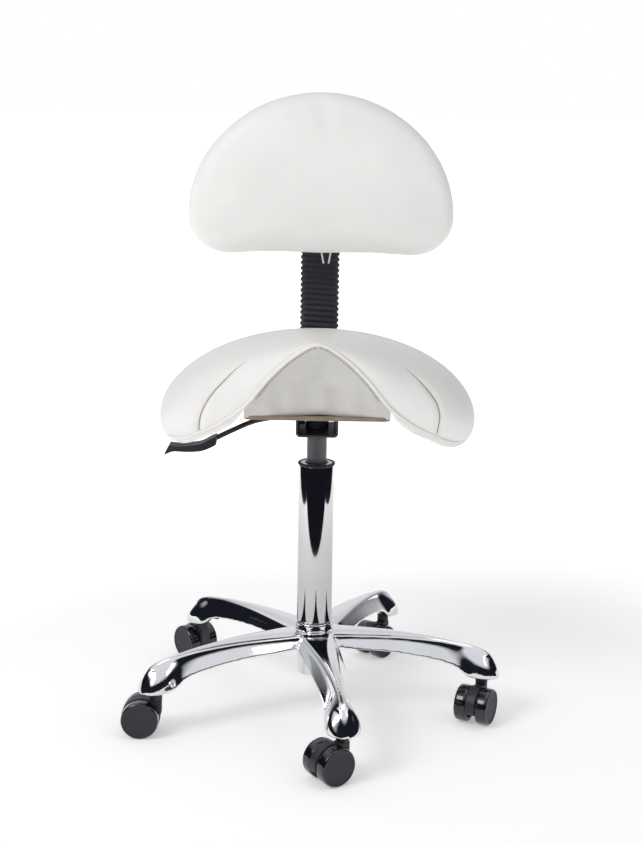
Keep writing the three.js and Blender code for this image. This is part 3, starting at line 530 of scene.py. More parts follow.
def leg_section(out, top, bottom, half_top, half_bottom, inset=0.0):
    """Cross-section of a leg: a creased ridge over two flared skirts, which swell into a toe cap."""
    rise = top - bottom
    cap = float(smooth_step(*TOE_CAP, out))
    spread = [lerp(a, b, cap) for a, b in ((0.12, 0.45), (0.38, 0.86), (0.72, 0.97))]
    half = [(0, top), (half_top * 0.55, top - 0.8), (half_top * 0.97, top - 2.6), (half_top, top - 4.4),
            (lerp(half_top, half_bottom, spread[0]), top - 6.5 - rise * 0.10),
            (lerp(half_top, half_bottom, spread[1]), lerp(top, bottom, 0.52)),
            (lerp(half_top, half_bottom, spread[2]), lerp(top, bottom, 0.78)),
            (half_bottom, lerp(top, bottom, 0.95)), (half_bottom, bottom)]
    half = [(max(x - inset, 0), z - inset) for x, z in half]
    ring = half + [(-x, z) for x, z in reversed(half[1:])]
    return np.array([(x, -out, z) for x, z in ring])


def leg_rings(inset=0.0):
    """Sections resampled smoothly along the leg."""
    wanted = np.array(LEG_SECTIONS, float)
    fine_a = smooth_line(wanted[:, :3], 5)
    fine_b = smooth_line(np.stack([wanted[:, 3], wanted[:, 4], wanted[:, 0]], 1), 5)
    return [leg_section(a[0], a[1], a[2], max(b[0], 1.5), max(b[1], 3.0), inset)
            for a, b in zip(fine_a, fine_b)]


def build_leg(name, leg):
    piece = capped_loft(name, leg_rings(), CAST_CHROME)
    return shift_piece(subdivide(piece, 1), leg_angle(leg))


def build_leg_hollow(name, leg):
    """The open channel under a leg, as the solid that is cut away."""
    rings = [leg_section(*one) for one in HOLLOW_SECTIONS]
    return shift_piece(capped_loft(name, rings, CAST_CHROME), leg_angle(leg))


def boolean(piece, other, operation):
    step = piece.modifiers.new("cut", "BOOLEAN")
    step.operation = operation
    step.object = other
    step.solver = "EXACT"
    apply_modifiers(piece)
    bpy.data.objects.remove(other)
    return piece


def star_base():
    hub_profile = [(20.6, 52), (24, 52), (24, 90), (26, 94), (25.6, HUB_TOP), (20.9, HUB_TOP)]
    parts = [revolve("hub", hub_profile, CAST_CHROME, 96, [0.5, 1.2, 4, 4, 1.2, 0.5])]
    for leg in range(LEGS):
        hollow = build_leg_hollow("hollow", leg)
        parts.append(boolean(apply_modifiers(build_leg("leg", leg)), hollow, "DIFFERENCE"))
        x, y = CASTER_CIRCLE * math.sin(leg_angle(leg)), -CASTER_CIRCLE * math.cos(leg_angle(leg))
        socket_profile = [(STEM_RADIUS + 0.3, LEG_FOOT_BOTTOM), (9.5, LEG_FOOT_BOTTOM), (10, 96),
                          (STEM_RADIUS + 0.3, 96)]
        parts.append(shift_piece(revolve("socket", socket_profile, CAST_CHROME, 32, 0.5), 0, (x, y, 0)))
    casting = join_pieces("star_base_casting", parts)
    fuse = casting.modifiers.new("fuse", "REMESH")
    fuse.mode = "VOXEL"
    fuse.voxel_size = CASTING_VOXEL * MM
    ease = casting.modifiers.new("ease", "SMOOTH")
    ease.factor = 0.5
    ease.iterations = 6
    apply_modifiers(casting)
    casting.data.materials.clear()
    casting.data.materials.append(CAST_CHROME)
    casting.data.shade_smooth()
    settle(casting, "base", "chrome_casting", "star_base")


# ---------------------------------------------------------------- casters

WHEEL_RADIUS = 26.0
WHEEL_WIDTH = 17.0
HOOD_HALF = 7.0
CASTER_TRAIL = 21.0
AXLE_RADIUS = 4.0
BOSS_BOTTOM = 49.7
TRAILS = [(-0.82, -0.57), (-0.44, -0.9), (-0.64, -0.77), (-0.64, 0.77), (-1, 0)]


def caster_wheel(name, side):
    """One wheel: a dished matte face in a glossy rim, hollow towards the hood."""
    bore = AXLE_RADIUS + 0.3
    profile = [(0, 16.2), (21.5, 16.2), (22.6, 16.9), (24.2, WHEEL_WIDTH), (25.6, 15.6),
               (WHEEL_RADIUS, 12.5), (WHEEL_RADIUS, 4), (25.4, 0.6), (24.2, 0), (20.5, 0), (20, 3.5),
               (9, 4.5), (8.5, 0.4), (bore, 0.4), (bore, 13), (0, 13)]
    piece = revolve(name, profile, [WHEEL_RIM, WHEEL_FACE], 80, 0.7, False,
                    lambda r, z: 1 if (r < 23.2 and z > 14) or (r < 20.3 and z < 14) else 0)
    turn = TOP_TO_REAR if side > 0 else TOP_TO_FRONT
    return lay_over(piece, turn, (0, side * (HOOD_HALF + 0.3), WHEEL_RADIUS))


def caster_hood(name):
    """The web between the wheels, its neck and the round boss under the leg."""
    rim = WHEEL_RADIUS + 0.7
    angles = np.linspace(-0.25, math.pi + 0.45, 44)
    web = [(rim * math.cos(a), WHEEL_RADIUS + rim * math.sin(a)) for a in angles]
    web += [(-15, WHEEL_RADIUS - 13), (-9, WHEEL_RADIUS - 15.5), (9, WHEEL_RADIUS - 14.5)]
    body = prism("hood_web", web, -HOOD_HALF + 0.1, HOOD_HALF - 0.1, BLACK_PLASTIC, "y", 1.0)
    neck_side = [(-28.5, 30), (-14, 30), (-9, 44), (-12.6, BOSS_BOTTOM + 1.5), (-28.8, BOSS_BOTTOM + 1.5)]
    neck = prism("hood_neck", neck_side, -HOOD_HALF + 0.3, HOOD_HALF - 0.3, BLACK_PLASTIC, "y", 1.4)
    boss = revolve("hood_boss", [(0, BOSS_BOTTOM), (8, BOSS_BOTTOM), (8.5, BOSS_BOTTOM + 1.2),
                                 (8.5, LEG_FOOT_BOTTOM - 0.8), (0, LEG_FOOT_BOTTOM - 0.8)],
                   BLACK_PLASTIC, 48, 0.5, False)
    shift_piece(boss, 0, (-CASTER_TRAIL, 0, 0))
    return join_pieces(name, [body, neck, boss])


def caster(leg):
    angle = leg_angle(leg)
    place = (CASTER_CIRCLE * math.sin(angle), -CASTER_CIRCLE * math.cos(angle), 0)
    trail_x, trail_y = TRAILS[leg]
    heading = math.atan2(trail_y, trail_x)
    tag = f"caster_{leg + 1}"
    hood = caster_hood(f"{tag}_hood_shell")
    shift_piece(hood, 0, (CASTER_TRAIL, 0, 0))
    settle(shift_piece(hood, heading, place), tag, "black_plastic", f"{tag}_hood")
    for side, label in ((-1, "right"), (1, "left")):
        wheel = shift_piece(caster_wheel(f"{tag}_tyre_{label}", side), 0, (CASTER_TRAIL, 0, 0))
        node = f"{tag}_wheel_{label}"
        settle(shift_piece(wheel, heading, place), node, "wheel_plastic", node)


# ---------------------------------------------------------------- gas lift

COLUMN_RADIUS = 25.0
COLUMN_TOP = 360.0
COLUMN_BOTTOM = 60.0
TUBE_RADIUS = 14.0


def gas_lift():
    column = revolve("column_sleeve", [(17.5, 64), (5.3, 64), (5.3, COLUMN_BOTTOM), (19.9, COLUMN_BOTTOM),
                                       (20.3, HUB_TOP + 0.3), (24.2, HUB_TOP + 0.9),
                                       (COLUMN_RADIUS, HUB_TOP + 2), (COLUMN_RADIUS, COLUMN_TOP),
                                       (17.5, COLUMN_TOP)], CHROME, 128,
                     [0.5, 0.3, 0.3, 1.5, 0.3, 0.4, 1.0, 1.2, 0.6])
    settle(column, "base", "chrome_tube", "outer_column")
    bush = revolve("column_bush", [(14.3, 282), (17.2, 282), (17.2, 360.3), (26.2, 360.3), (26.5, 361),
                                   (26.3, 362.4), (24.8, 363.2), (22.8, 363.2), (22.2, 362), (16.3, 362),
                                   (15.6, 363.2), (14.3, 363.2)], BLACK_PLASTIC, 128, 0.5)
    settle(bush, "base", "black_plastic", "guide_bush")
    trim = revolve("column_trim_ring", [(16.6, 362.1), (21.9, 362.1), (21.9, 362.5), (16.6, 362.5)],
                   BRIGHT_STEEL, 96, 0.15)
    settle(trim, "base", "chrome_tube")
    inner = revolve("lift_tube", [(0, 404), (11, 404), (11, 170), (5.3, 170), (5.3, 160), (TUBE_RADIUS, 160),
                                  (TUBE_RADIUS, 396), (13, 424), (3.3, 424), (3.3, 411), (0, 411)],
                    GREY_STEEL, 96, 0.6, False)
    settle(inner, "seat", "grey_steel", "pressure_tube")


# ---------------------------------------------------------------- saddle

RIDGE_Z = 547.5
SADDLE_HALF_WIDTH = 220.0
SADDLE_DROP = 120.0
LIP_REACH = 24.0
LIP_DROP = 30.0
WIDEST = 0.84
SADDLE_MIDDLE_Y = 10.0
APEX_Z = 557.5
APEX_Y = -163.0
FRONT_SLOPE = 0.533
RIDGE_SLOPE = 0.14
PANEL_EDGE = [(0, 557.5), (31, 541), (63, 509), (95, 467), (130, 438)]
TIP_EDGE = [(156, -86, 424), (175, -71, 413), (190, -56, 408), (203, -42, 411), (212, -27, 419)]
REAR_EDGE = [(0, 186, 457), (60, 184, 455), (115, 172, 446), (160, 145, 425), (185, 105, 404)]
INNER_ARCH = [(0, 503), (60, 484), (100, 459), (140, 433), (175, 408), (196, 397.5)]


def front_depth(z):
    return APEX_Y + FRONT_SLOPE * (APEX_Z - z)


def by_share(line):
    """Function that gives the point at a share, from 0 to 1, of the line's length."""
    line = np.asarray(line, float)
    along = np.concatenate([[0], np.cumsum(np.linalg.norm(np.diff(line, axis=0), axis=1))])
    along /= along[-1]
    return lambda share: np.stack([np.interp(share, along, line[:, k]) for k in range(3)], -1)


def half_line(points):
    """The spline from the ridge to a wing tip, mirrored at the ridge so that it crosses it smoothly."""
    both = [(-x, y, z) for x, y, z in points[:0:-1]] + list(points)
    fine = smooth_line(both, 24)
    return by_share(fine[len(fine) // 2:])


front_edge = half_line([(x, front_depth(z), z) for x, z in PANEL_EDGE] + TIP_EDGE)
rear_edge = half_line(REAR_EDGE)
inner_arch = half_line([(x, SADDLE_MIDDLE_Y, z) for x, z in INNER_ARCH])


def middle_arch(wing):
    low = RIDGE_Z - SADDLE_DROP
    crest = np.minimum(wing, WIDEST) / WIDEST * QUARTER
    lip = np.maximum(wing - WIDEST, 0) / (1 - WIDEST) * QUARTER
    x = SADDLE_HALF_WIDTH * np.sin(crest) - LIP_REACH * (1 - np.cos(lip))
    z = low + SADDLE_DROP * np.cos(crest) - LIP_DROP * np.sin(lip)
    return np.stack([x, np.full_like(x, SADDLE_MIDDLE_Y), z], -1)


def cubic(a, b, c, d, t):
    t = t[..., None]
    s = 1 - t
    return s ** 3 * a + 3 * s * s * t * b + 3 * s * t * t * c + t ** 3 * d


def saddle_top(u, v):
    """Points of the upper skin; arrays u, from front to rear, and v, from the -X wing to the +X wing."""
    u, v = np.broadcast_arrays(np.asarray(u, float), np.asarray(v, float))
    wing = np.abs(v * 2 - 1)
    middle = middle_arch(wing)
    slope = RIDGE_SLOPE * (1 - wing)
    front = front_edge(wing)
    tip = smooth_step(0.6, 1, wing)
    roll = np.stack([lerp(front[..., 0], middle[..., 0], 0.6), front[..., 1] - 14 + 8 * tip,
                     lerp(front[..., 2], middle[..., 2], 0.8) + 16 * (1 - wing)], -1)
    reach = lerp(78, (middle[..., 1] - front[..., 1]) * 0.45, tip)
    ahead = middle + np.stack([slope * 0, -reach, slope * reach], -1)
    fore = cubic(front, roll, ahead, middle, np.clip(u * 2, 0, 1))
    rear = rear_edge(wing)
    behind = middle + np.stack([slope * 0, slope * 0 + 70, -slope * 70], -1)
    back_roll = np.stack([lerp(rear[..., 0], middle[..., 0], 0.8), rear[..., 1] + 8,
                          lerp(rear[..., 2], middle[..., 2], 0.96)], -1)
    aft = cubic(middle, behind, back_roll, rear, np.clip(u * 2 - 1, 0, 1))
    point = np.where((u <= 0.5)[..., None], fore, aft)
    point[..., 0] *= np.sign(v * 2 - 1)
    return point


def saddle_under(u, v):
    u, v = np.broadcast_arrays(np.asarray(u, float), np.asarray(v, float))
    wing = np.abs(v * 2 - 1)
    front, rear, middle = front_edge(wing), rear_edge(wing), inner_arch(wing)
    held = 2 * middle - (front + rear) / 2
    share = u[..., None]
    point = (1 - share) ** 2 * front + 2 * (1 - share) * share * held + share ** 2 * rear
    point[..., 0] *= np.sign(v * 2 - 1)
    return lerp(point, saddle_top(u, v), smooth_step(0.8, 1, wing)[..., None])


def sheet_normals(skin, u, v, step=0.004):
    """Unit normals of a skin, pointing up on its upper side."""
    along = skin(np.clip(u + step, 0, 1), v) - skin(np.clip(u - step, 0, 1), v)
    across = skin(u, np.clip(v + step, 0, 1)) - skin(u, np.clip(v - step, 0, 1))
    normal = np.cross(across, along)
    size = np.linalg.norm(normal, axis=-1, keepdims=True)
    return normal / np.maximum(size, 1e-9)


# A hollow beside the pommel, where the cover dips before the wing on the +X side rises.
DIP_PLACE = (17.0, -126.0, 557.0)
DIP_REACH = (9, 16, 12)
DIP_DEPTH = 2.6


def saddle_relief(top):
    """Height of the skin over its plain shape: a groove at each seam, and a soft roll on both its sides."""
    relief = np.zeros(top.shape[:2])
    for knots in WING_SEAMS.values():
        u, v = wing_seam_line(knots)
        line = saddle_top(u, v)
        flat = top.reshape(-1, 3)
        away = np.full(len(flat), 99.0)
        near = np.zeros(len(flat))
        close = np.flatnonzero(np.linalg.norm(flat[:, None] - line[None, ::12], axis=2).min(1) < 30)
        gaps = np.linalg.norm(flat[close, None] - line[None], axis=2)
        away[close] = gaps.min(1)
        near[close] = gaps.argmin(1) / (len(line) - 1)
        strength = 1 - smooth_step(0.65, 1.0, near)
        groove = 1.5 * np.exp(-(away / 2.2) ** 2) - 0.9 * np.exp(-((away - 9) / 6) ** 2)
        relief -= (groove * strength).reshape(relief.shape)
    relief -= DIP_DEPTH * np.exp(-(np.linalg.norm((top - DIP_PLACE) / DIP_REACH, axis=2)) ** 2)
    return relief


SADDLE_ROWS = 160
SADDLE_COLUMNS = 260


def saddle_cushion():
    u = np.linspace(0, 1, SADDLE_ROWS + 1)[:, None]
    v = np.linspace(0, 1, SADDLE_COLUMNS + 1)[None, :]
    top = saddle_top(u, v)
    top = top + sheet_normals(saddle_top, u + 0 * v, v + 0 * u) * saddle_relief(top)[..., None]
    low = saddle_under(u, v)
    cushion = two_skins("saddle_upholstery", top, low, LEATHERETTE)
    settle(cushion, "seat", "padded_leatherette", "seat_cushion")


def edge_frame(share):
    """Points of the front edge, and the way down from each of them within the front."""
    line = front_edge(share)
    along = np.gradient(line, axis=0)
    along /= np.linalg.norm(along, axis=1)[:, None]
    down = np.stack([along[:, 2], np.zeros(len(line)), -along[:, 0]], 1)
    down /= np.linalg.norm(down, axis=1)[:, None]
    return line, down


def saddle_piping():
    """Piping all round the cushion: along the front, round the wings and across the rear."""
    share = np.linspace(0, 1, 150)
    front = front_edge(share)
    front = np.concatenate([(front * (-1, 1, 1))[::-1], front[1:]]) + (0, -1.0, -0.4)
    right = saddle_top(share, np.ones(150)) + (1.2, 0, 2.6)
    rear = rear_edge(share)
    rear = np.concatenate([rear[::-1], (rear * (-1, 1, 1))[1:]])
    left = (right * (-1, 1, 1))[::-1]
    loop = np.concatenate([front, right[6:-4], rear, left[4:-6], front[:1]])
    loop = even(loop, 900)[:-1]
    for _ in range(6):
        loop = (np.roll(loop, 1, 0) + 2 * loop + np.roll(loop, -1, 0)) / 4
    settle(tube("saddle_piping_loop", loop, 2.4, PIPING, 14, True), "seat", "leatherette")


GUSSET_SPAN = (0.42, 0.985)
GUSSET_SIDES = 18


def saddle_gusset():
    """Soft band of cover under the piping of each wing, from the board's corner to the tip."""
    first, last = GUSSET_SPAN
    share = np.linspace(first, last, 70)
    growth = smooth_step(first, first + 0.16, share) * (1 - 0.6 * smooth_step(0.8, last, share))
    line, down = edge_frame(share)
    angles = np.linspace(0, TURN, GUSSET_SIDES, endpoint=False)
    parts = []
    for side in (-1, 1):
        rings = []
        for grow, point, low in zip(growth, line, down):
            width, depth = 0.8 + 4.6 * grow, 0.8 + 5.0 * grow
            middle = point + low * (width - 0.5) + np.array((0, depth * 0.9, 0))
            ring = [middle + low * width * math.cos(a) + np.array((0, depth * math.sin(a), 0))
                    for a in angles]
            rings.append([(side * x, y, z) for x, y, z in ring])
        parts.append(capped_loft("gusset", rings, LEATHERETTE))
    settle(join_pieces("saddle_gusset_bands", parts), "seat", "leatherette")


def stitches(name, lines, out, length, gap, radius):
    """Rows of short raised threads along the lines; out is the way each thread stands proud."""
    out = np.asarray(out, float)
    rings, faces = [], []
    for line in lines:
        ahead = np.concatenate([[0], np.cumsum(np.linalg.norm(np.diff(line, axis=0), axis=1))])
        for start in np.arange(0, ahead[-1] - length, length + gap):
            base = len(rings) * 6
            places = start + np.linspace(0, length, 5)
            thread = np.stack([np.interp(places, ahead, line[:, k]) for k in range(3)], 1)
            along = (thread[-1] - thread[0]) / np.linalg.norm(thread[-1] - thread[0])
            across = np.cross(along, out)
            for point, rise, size in zip(thread, (-0.6, 0.5, 1.0, 0.5, -0.6), (0.55, 1, 1, 1, 0.55)):
                turns = [(math.cos(k * TURN / 6), math.sin(k * TURN / 6)) for k in range(6)]
                rings.append([point + (out * (rise + size * c) + across * size * d) * radius
                              for c, d in turns])
            faces += [tuple(base + k for k in face) for face in grid_faces(5, 6, False, True)]
            faces += [tuple(range(base, base + 6)), tuple(range(base + 24, base + 30))]
    return make_piece(name, np.concatenate(rings), faces, THREAD, 60)


def panel_stitches():
    """Seam row on the panel, just inside the piping."""
    share = np.linspace(0.012, 0.41, 80)
    line, down = edge_frame(share)
    lean = math.atan(FRONT_SLOPE)
    out = np.array((0, -math.cos(lean), -math.sin(lean)))
    inside = line + down * 5.5
    inside[:, 1] = front_depth(inside[:, 2]) - 1.6
    rows = [inside * (side, 1, 1) for side in (-1, 1)]
    settle(stitches("panel_stitching", rows, out, 2.8, 1.8, 0.6), "seat", "leatherette")


# Each wing's curved seam on the upper skin: u and v knots, from the front edge to where it fades out.
WING_SEAMS = {
    "left": [(0.012, 0.140), (0.05, 0.160), (0.085, 0.183), (0.115, 0.216),
             (0.135, 0.25), (0.15, 0.292), (0.165, 0.335), (0.17, 0.36)],
    "right": [(0.02, 0.862), (0.065, 0.845), (0.115, 0.823), (0.155, 0.792),
              (0.172, 0.765), (0.187, 0.733), (0.198, 0.70), (0.2, 0.667)],
}


def wing_seam_line(knots, count=120):
    fine = smooth_line([(u, v, 0) for u, v in knots], 16)
    fine = even(fine, count)
    return fine[:, 0], fine[:, 1]


def wing_seams():
    """Fine welts along the seams, sunk in the grooves of the skin."""
    parts = []
    for label, knots in WING_SEAMS.items():
        u, v = wing_seam_line(knots)
        line = saddle_top(u, v) + sheet_normals(saddle_top, u, v) * -0.55
        parts.append(tube(f"seam_{label}", line, 0.55, THREAD, 8))
    settle(join_pieces("saddle_seam_welts", parts), "seat", "leatherette")


PANEL_HOLLOW = 9.5
PANEL_FLOOR = 446.6
PANEL_THICK = 1.6
PANEL_MOST_HALF = 97.5
PANEL_ROWS = 60
PANEL_COLUMNS = 120


def panel_layer(behind):
    """Grid of the panel's points, that far behind its outer face."""
    lean = math.atan(FRONT_SLOPE)
    edge = front_edge(np.linspace(0, 1, 200))
    upper = edge[:, 0] < PANEL_EDGE[-1][0]
    layer = []
    for i in range(PANEL_ROWS + 1):
        drop = lerp(0.03, 1.0, i / PANEL_ROWS)
        z = lerp(APEX_Z + 1, PANEL_FLOOR, drop)
        half = np.interp(-(z + 2.0), -edge[upper, 2], edge[upper, 0]) - 0.8
        half = min(max(half, 5.0), PANEL_MOST_HALF)
        row = []
        for j in range(PANEL_COLUMNS + 1):
            x = lerp(-half, half, j / PANEL_COLUMNS)
            wave = 1.9 * math.sin(x / 6.0 + 0.6) + 1.7 * math.sin(x / 11.0 + 2.0) + 0.7 * math.sin(x / 3.6)
            wave *= smooth_step(0.25, 0.9, drop) * smooth_step(0, 12, half - abs(x))
            wave *= 1 - 0.85 * smooth_step(0.9, 1.0, drop)
            hollow = PANEL_HOLLOW * smooth_step(0, 0.35, drop) * (1 - abs(x - 3) / (half + 3)) ** 1.2
            inward = 0.4 + behind - wave * 0.8 + hollow
            row.append((x, front_depth(z) + inward * math.cos(lean), z + inward * math.sin(lean)))
        layer.append(row)
    return layer


def front_panel():
    """Stretched cover under the pommel, hollow in the middle, with soft folds that fade towards the apex."""
    # Its leatherette is painted darker than the rest of the cover, as painted shade.
    panel = two_skins("pommel_panel", panel_layer(0), panel_layer(PANEL_THICK), PANEL_SHADED_LEATHERETTE)
    settle(panel, "seat", "leatherette", "front_panel")


SHELL_CLEARANCE = 1.8
SHELL_THICK = 3.5


def seat_shell():
    """Moulded shell under the cushion, which follows its lower skin."""
    u = lerp(0.16, 0.8, np.linspace(0, 1, 31))[:, None]
    v = lerp(0.21, 0.79, np.linspace(0, 1, 41))[None, :]
    top = saddle_under(u, v) - (0, 0, SHELL_CLEARANCE)
    shell = two_skins("saddle_shell", top, top - (0, 0, SHELL_THICK), BLACK_PLASTIC, 50)
    settle(soften_edges(shell, 1.2), "seat", "black_plastic", "seat_shell")


# ---------------------------------------------------------------- under the seat

BOLTS = [(-40, -48), (40, -48), (-40, 54), (40, 54)]
BOARD_BOTTOM = 444.5
BOLT_TOP = 448.5


def plate_bolts():
    head = BOARD_BOTTOM - 3.6
    hexagon = [(6.3 * math.cos(k * TURN / 6), 6.3 * math.sin(k * TURN / 6)) for k in range(6)]
    for number, (x, y) in enumerate(BOLTS, 1):
        cap = prism("bolt_cap", hexagon, head - 5, head - 1.2, BRIGHT_STEEL, "z", 0.5)
        washer = revolve("bolt_washer", [(0, head - 1.2), (6.5, head - 1.2), (6.5, head), (0, head)],
                         BRIGHT_STEEL, 40, 0.3, False)
        shank = revolve("bolt_shank", [(0, head), (4, head), (4, BOLT_TOP), (0, BOLT_TOP)], BRIGHT_STEEL, 32,
                        0.4, False)
        bolt = join_pieces(f"plate_bolt_{number}_hex", [cap, washer, shank])
        settle(shift_piece(bolt, 0, (x, y, 0)), "seat", "bright_steel", f"plate_bolt_{number}")


LEVER_ROUTE = [(7, 0, 431.9), (-12, 0, 431.9), (-26, -1, 431.1), (-50, -6, 428.6), (-85, -18, 424.5),
               (-115, -27, 413.5), (-141, -32, 401.5)]


def release_lever():
    arm = tube("lever_rod", smooth_line(LEVER_ROUTE, 10), 3.5, BLACK_STEEL, 20)
    settle(arm, "lever", "black_steel", "lever_arm")
    side = [(-138, 407.5), (-146, 404), (-158, 396.5), (-176, 393.5), (-194, 392.5), (-203, 394),
            (-210, 380.5), (-198, 386), (-176, 385), (-158, 386.5), (-146, 391.5), (-138, 396)]
    outline = rounded(side, [2, 5, 8, 10, 5, 2, 1.5, 5, 12, 8, 5, 2], 5, True)
    paddle = prism("lever_paddle", outline, -48, -22, BLACK_PLASTIC, "y", 2.2)
    settle(paddle, "lever", "black_plastic", "lever_handle")


KNOB_LOBES = 6


def knob(name, radius, height, screw, body, node, place, turn):
    """Clamp knob with rounded lobes and its screw."""
    profile = [(0, -height), (radius * 0.62, -height), (radius * 0.9, -height * 0.92),
               (radius, -height * 0.72), (radius, -height * 0.34), (radius * 0.82, -height * 0.16),
               (radius * 0.5, -height * 0.12), (radius * 0.42, 0), (0, 0)]
    grip = revolve("grip", profile, BLACK_PLASTIC, 120, [0, 2, 2, 3, 3, 2, 2, 0.6, 0], False, None,
                   lambda a: 0.93 + 0.07 * math.cos(KNOB_LOBES * a))
    thread = revolve("screw", [(0, 0), (4, 0), (4, screw), (0, screw)], BRIGHT_STEEL, 32, 0.4, False)
    piece = lay_over(join_pieces(name, [grip, thread]), turn, place)
    settle(piece, body, "black_plastic", node)


# ---------------------------------------------------------------- back bar and backrest

BAR_Z = 436.5
BAR_Y = 217.0
BAR_BEND = 45.0
BAR_HALF_WIDTH = 25.0
BAR_THICK = 6.0


def bar_line():
    """Side view of the bar's middle line, as y and z, with the way its face looks."""
    centre_y, centre_z = BAR_Y - BAR_BEND, BAR_Z + BAR_BEND
    out = [(55.0, BAR_Z, 0.0), (110.0, BAR_Z, 0.0)]
    for angle in np.linspace(0, QUARTER, 25):
        out.append((centre_y + BAR_BEND * math.sin(angle), centre_z - BAR_BEND * math.cos(angle), angle))
    return out + [(BAR_Y, 600.0, QUARTER), (BAR_Y, 790.0, QUARTER)]


def back_bar():
    section = rounded_box((-BAR_HALF_WIDTH, -BAR_THICK / 2), (BAR_HALF_WIDTH, BAR_THICK / 2), 1.6, 4)
    rings = [[(a, y - b * math.sin(t), z + b * math.cos(t)) for a, b in section]
             for y, z, t in bar_line()]
    bar = capped_loft("back_bar_strap", rings, BLACK_STEEL, 50)
    settle(bar, "back_bar", "black_steel", "back_bar")


BELLOWS_BOTTOM = 500.0
BELLOWS_TOP = 702.0
BELLOWS_HALF = (26.9, 9.4)
BELLOWS_BORE_HALF = (25.9, 3.9)
RIB_PITCH = 8.4
RIB_DEPTH = 2.6
RIB_SLANT = 0.055


def bellows():
    """Ribbed cover over the bar."""
    heights = np.linspace(BELLOWS_BOTTOM, BELLOWS_TOP, 24 * 8 + 1)
    half_x, half_y = BELLOWS_HALF
    bore_x, bore_y = BELLOWS_BORE_HALF
    rings = []
    for z in heights:
        wave = 0.5 + 0.5 * math.cos((z - BELLOWS_BOTTOM) / RIB_PITCH * TURN)
        bulge = RIB_DEPTH * wave ** 0.7
        corner = (half_x + bulge, half_y + bulge)
        outline = rounded_box((-half_x - bulge, -half_y - bulge), corner, 7 + bulge, 6)
        ramp = smooth_step(0, 12, min(z - BELLOWS_BOTTOM, BELLOWS_TOP - z))
        rings.append([(x, BAR_Y + y, z - RIB_SLANT * x * ramp) for x, y in outline])
    for z in heights[::-8]:
        outline = rounded_box((-bore_x, -bore_y), (bore_x, bore_y), 1.0, 6)
        rings.append([(x, BAR_Y + y, z) for x, y in outline])
    count = len(rings[0])
    faces = grid_faces(len(rings), count, True, True)
    piece = make_piece("bellows_sleeve", np.concatenate(rings), faces, BELLOWS_RUBBER, 60)
    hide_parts("bellows")
    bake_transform(piece)


PAD_HALF_WIDTH = 194.0
PAD_WIDEST_Z = 693.0
PAD_RISE = 178.0
PAD_CORNER = (60.0, 54.5)
PAD_FRONT = 122.0
PAD_REAR = 179.7
PAD_CROWN = 2.2
PAD_FRONT_EDGE = 24.0
PAD_REAR_EDGE = 9.0
PAD_EDGE_DEPTH = 26.0
PAD_SIDE_REAR = 150.0


def arc(centre, radii, start, end, count):
    angles = np.linspace(start, end, count, endpoint=False)
    return [(centre[0] + radii[0] * math.cos(a), centre[1] + radii[1] * math.sin(a)) for a in angles]


def dip(start, control, end, count):
    """Quadratic curve without its last point."""
    start, control, end = (np.array(p, float) for p in (start, control, end))
    shares = np.arange(count) / count
    return [tuple((1 - t) ** 2 * start + 2 * t * (1 - t) * control + t * t * end) for t in shares]


def pad_outline(count=200):
    """Front view of the pad as x and z: half an ellipse over two round lobes and a shallow arch."""
    w, (cx, cz) = PAD_HALF_WIDTH, PAD_CORNER
    bottom = PAD_WIDEST_Z - cz
    line = arc((0, PAD_WIDEST_Z), (w, PAD_RISE), 0, math.pi, 160)
    line += arc((-w + cx, PAD_WIDEST_Z), (cx, cz), math.pi, math.pi + QUARTER, 40)
    line += dip((-w + cx, bottom), (-62, bottom + 7), (0, bottom + 2.5), 30)
    line += dip((0, bottom + 2.5), (62, bottom + 7), (w - cx, bottom), 30)
    line += arc((w - cx, PAD_WIDEST_Z), (cx, cz), -QUARTER, 0, 40)
    closed = np.array(line + line[:1])
    flat = np.stack([closed[:, 0], closed[:, 1], np.zeros(len(closed))], 1)
    return even(flat, count + 1)[:-1, :2]


def inset_outline(outline, distance):
    """The outline moved inwards by a distance smaller than its tightest bend."""
    ahead = np.roll(outline, -1, 0) - np.roll(outline, 1, 0)
    ahead /= np.linalg.norm(ahead, axis=1)[:, None]
    return outline + np.stack([-ahead[:, 1], ahead[:, 0]], 1) * distance


def toward_core(outline, share):
    """The outline shrunk towards a level line through the pad's middle."""
    core_x = np.clip(outline[:, 0], -90, 90) * 0.75
    core = np.stack([core_x, np.full(len(outline), PAD_WIDEST_Z + 55.0)], 1)
    return lerp(outline, core, share)


CLOTH_FRAMES = 20


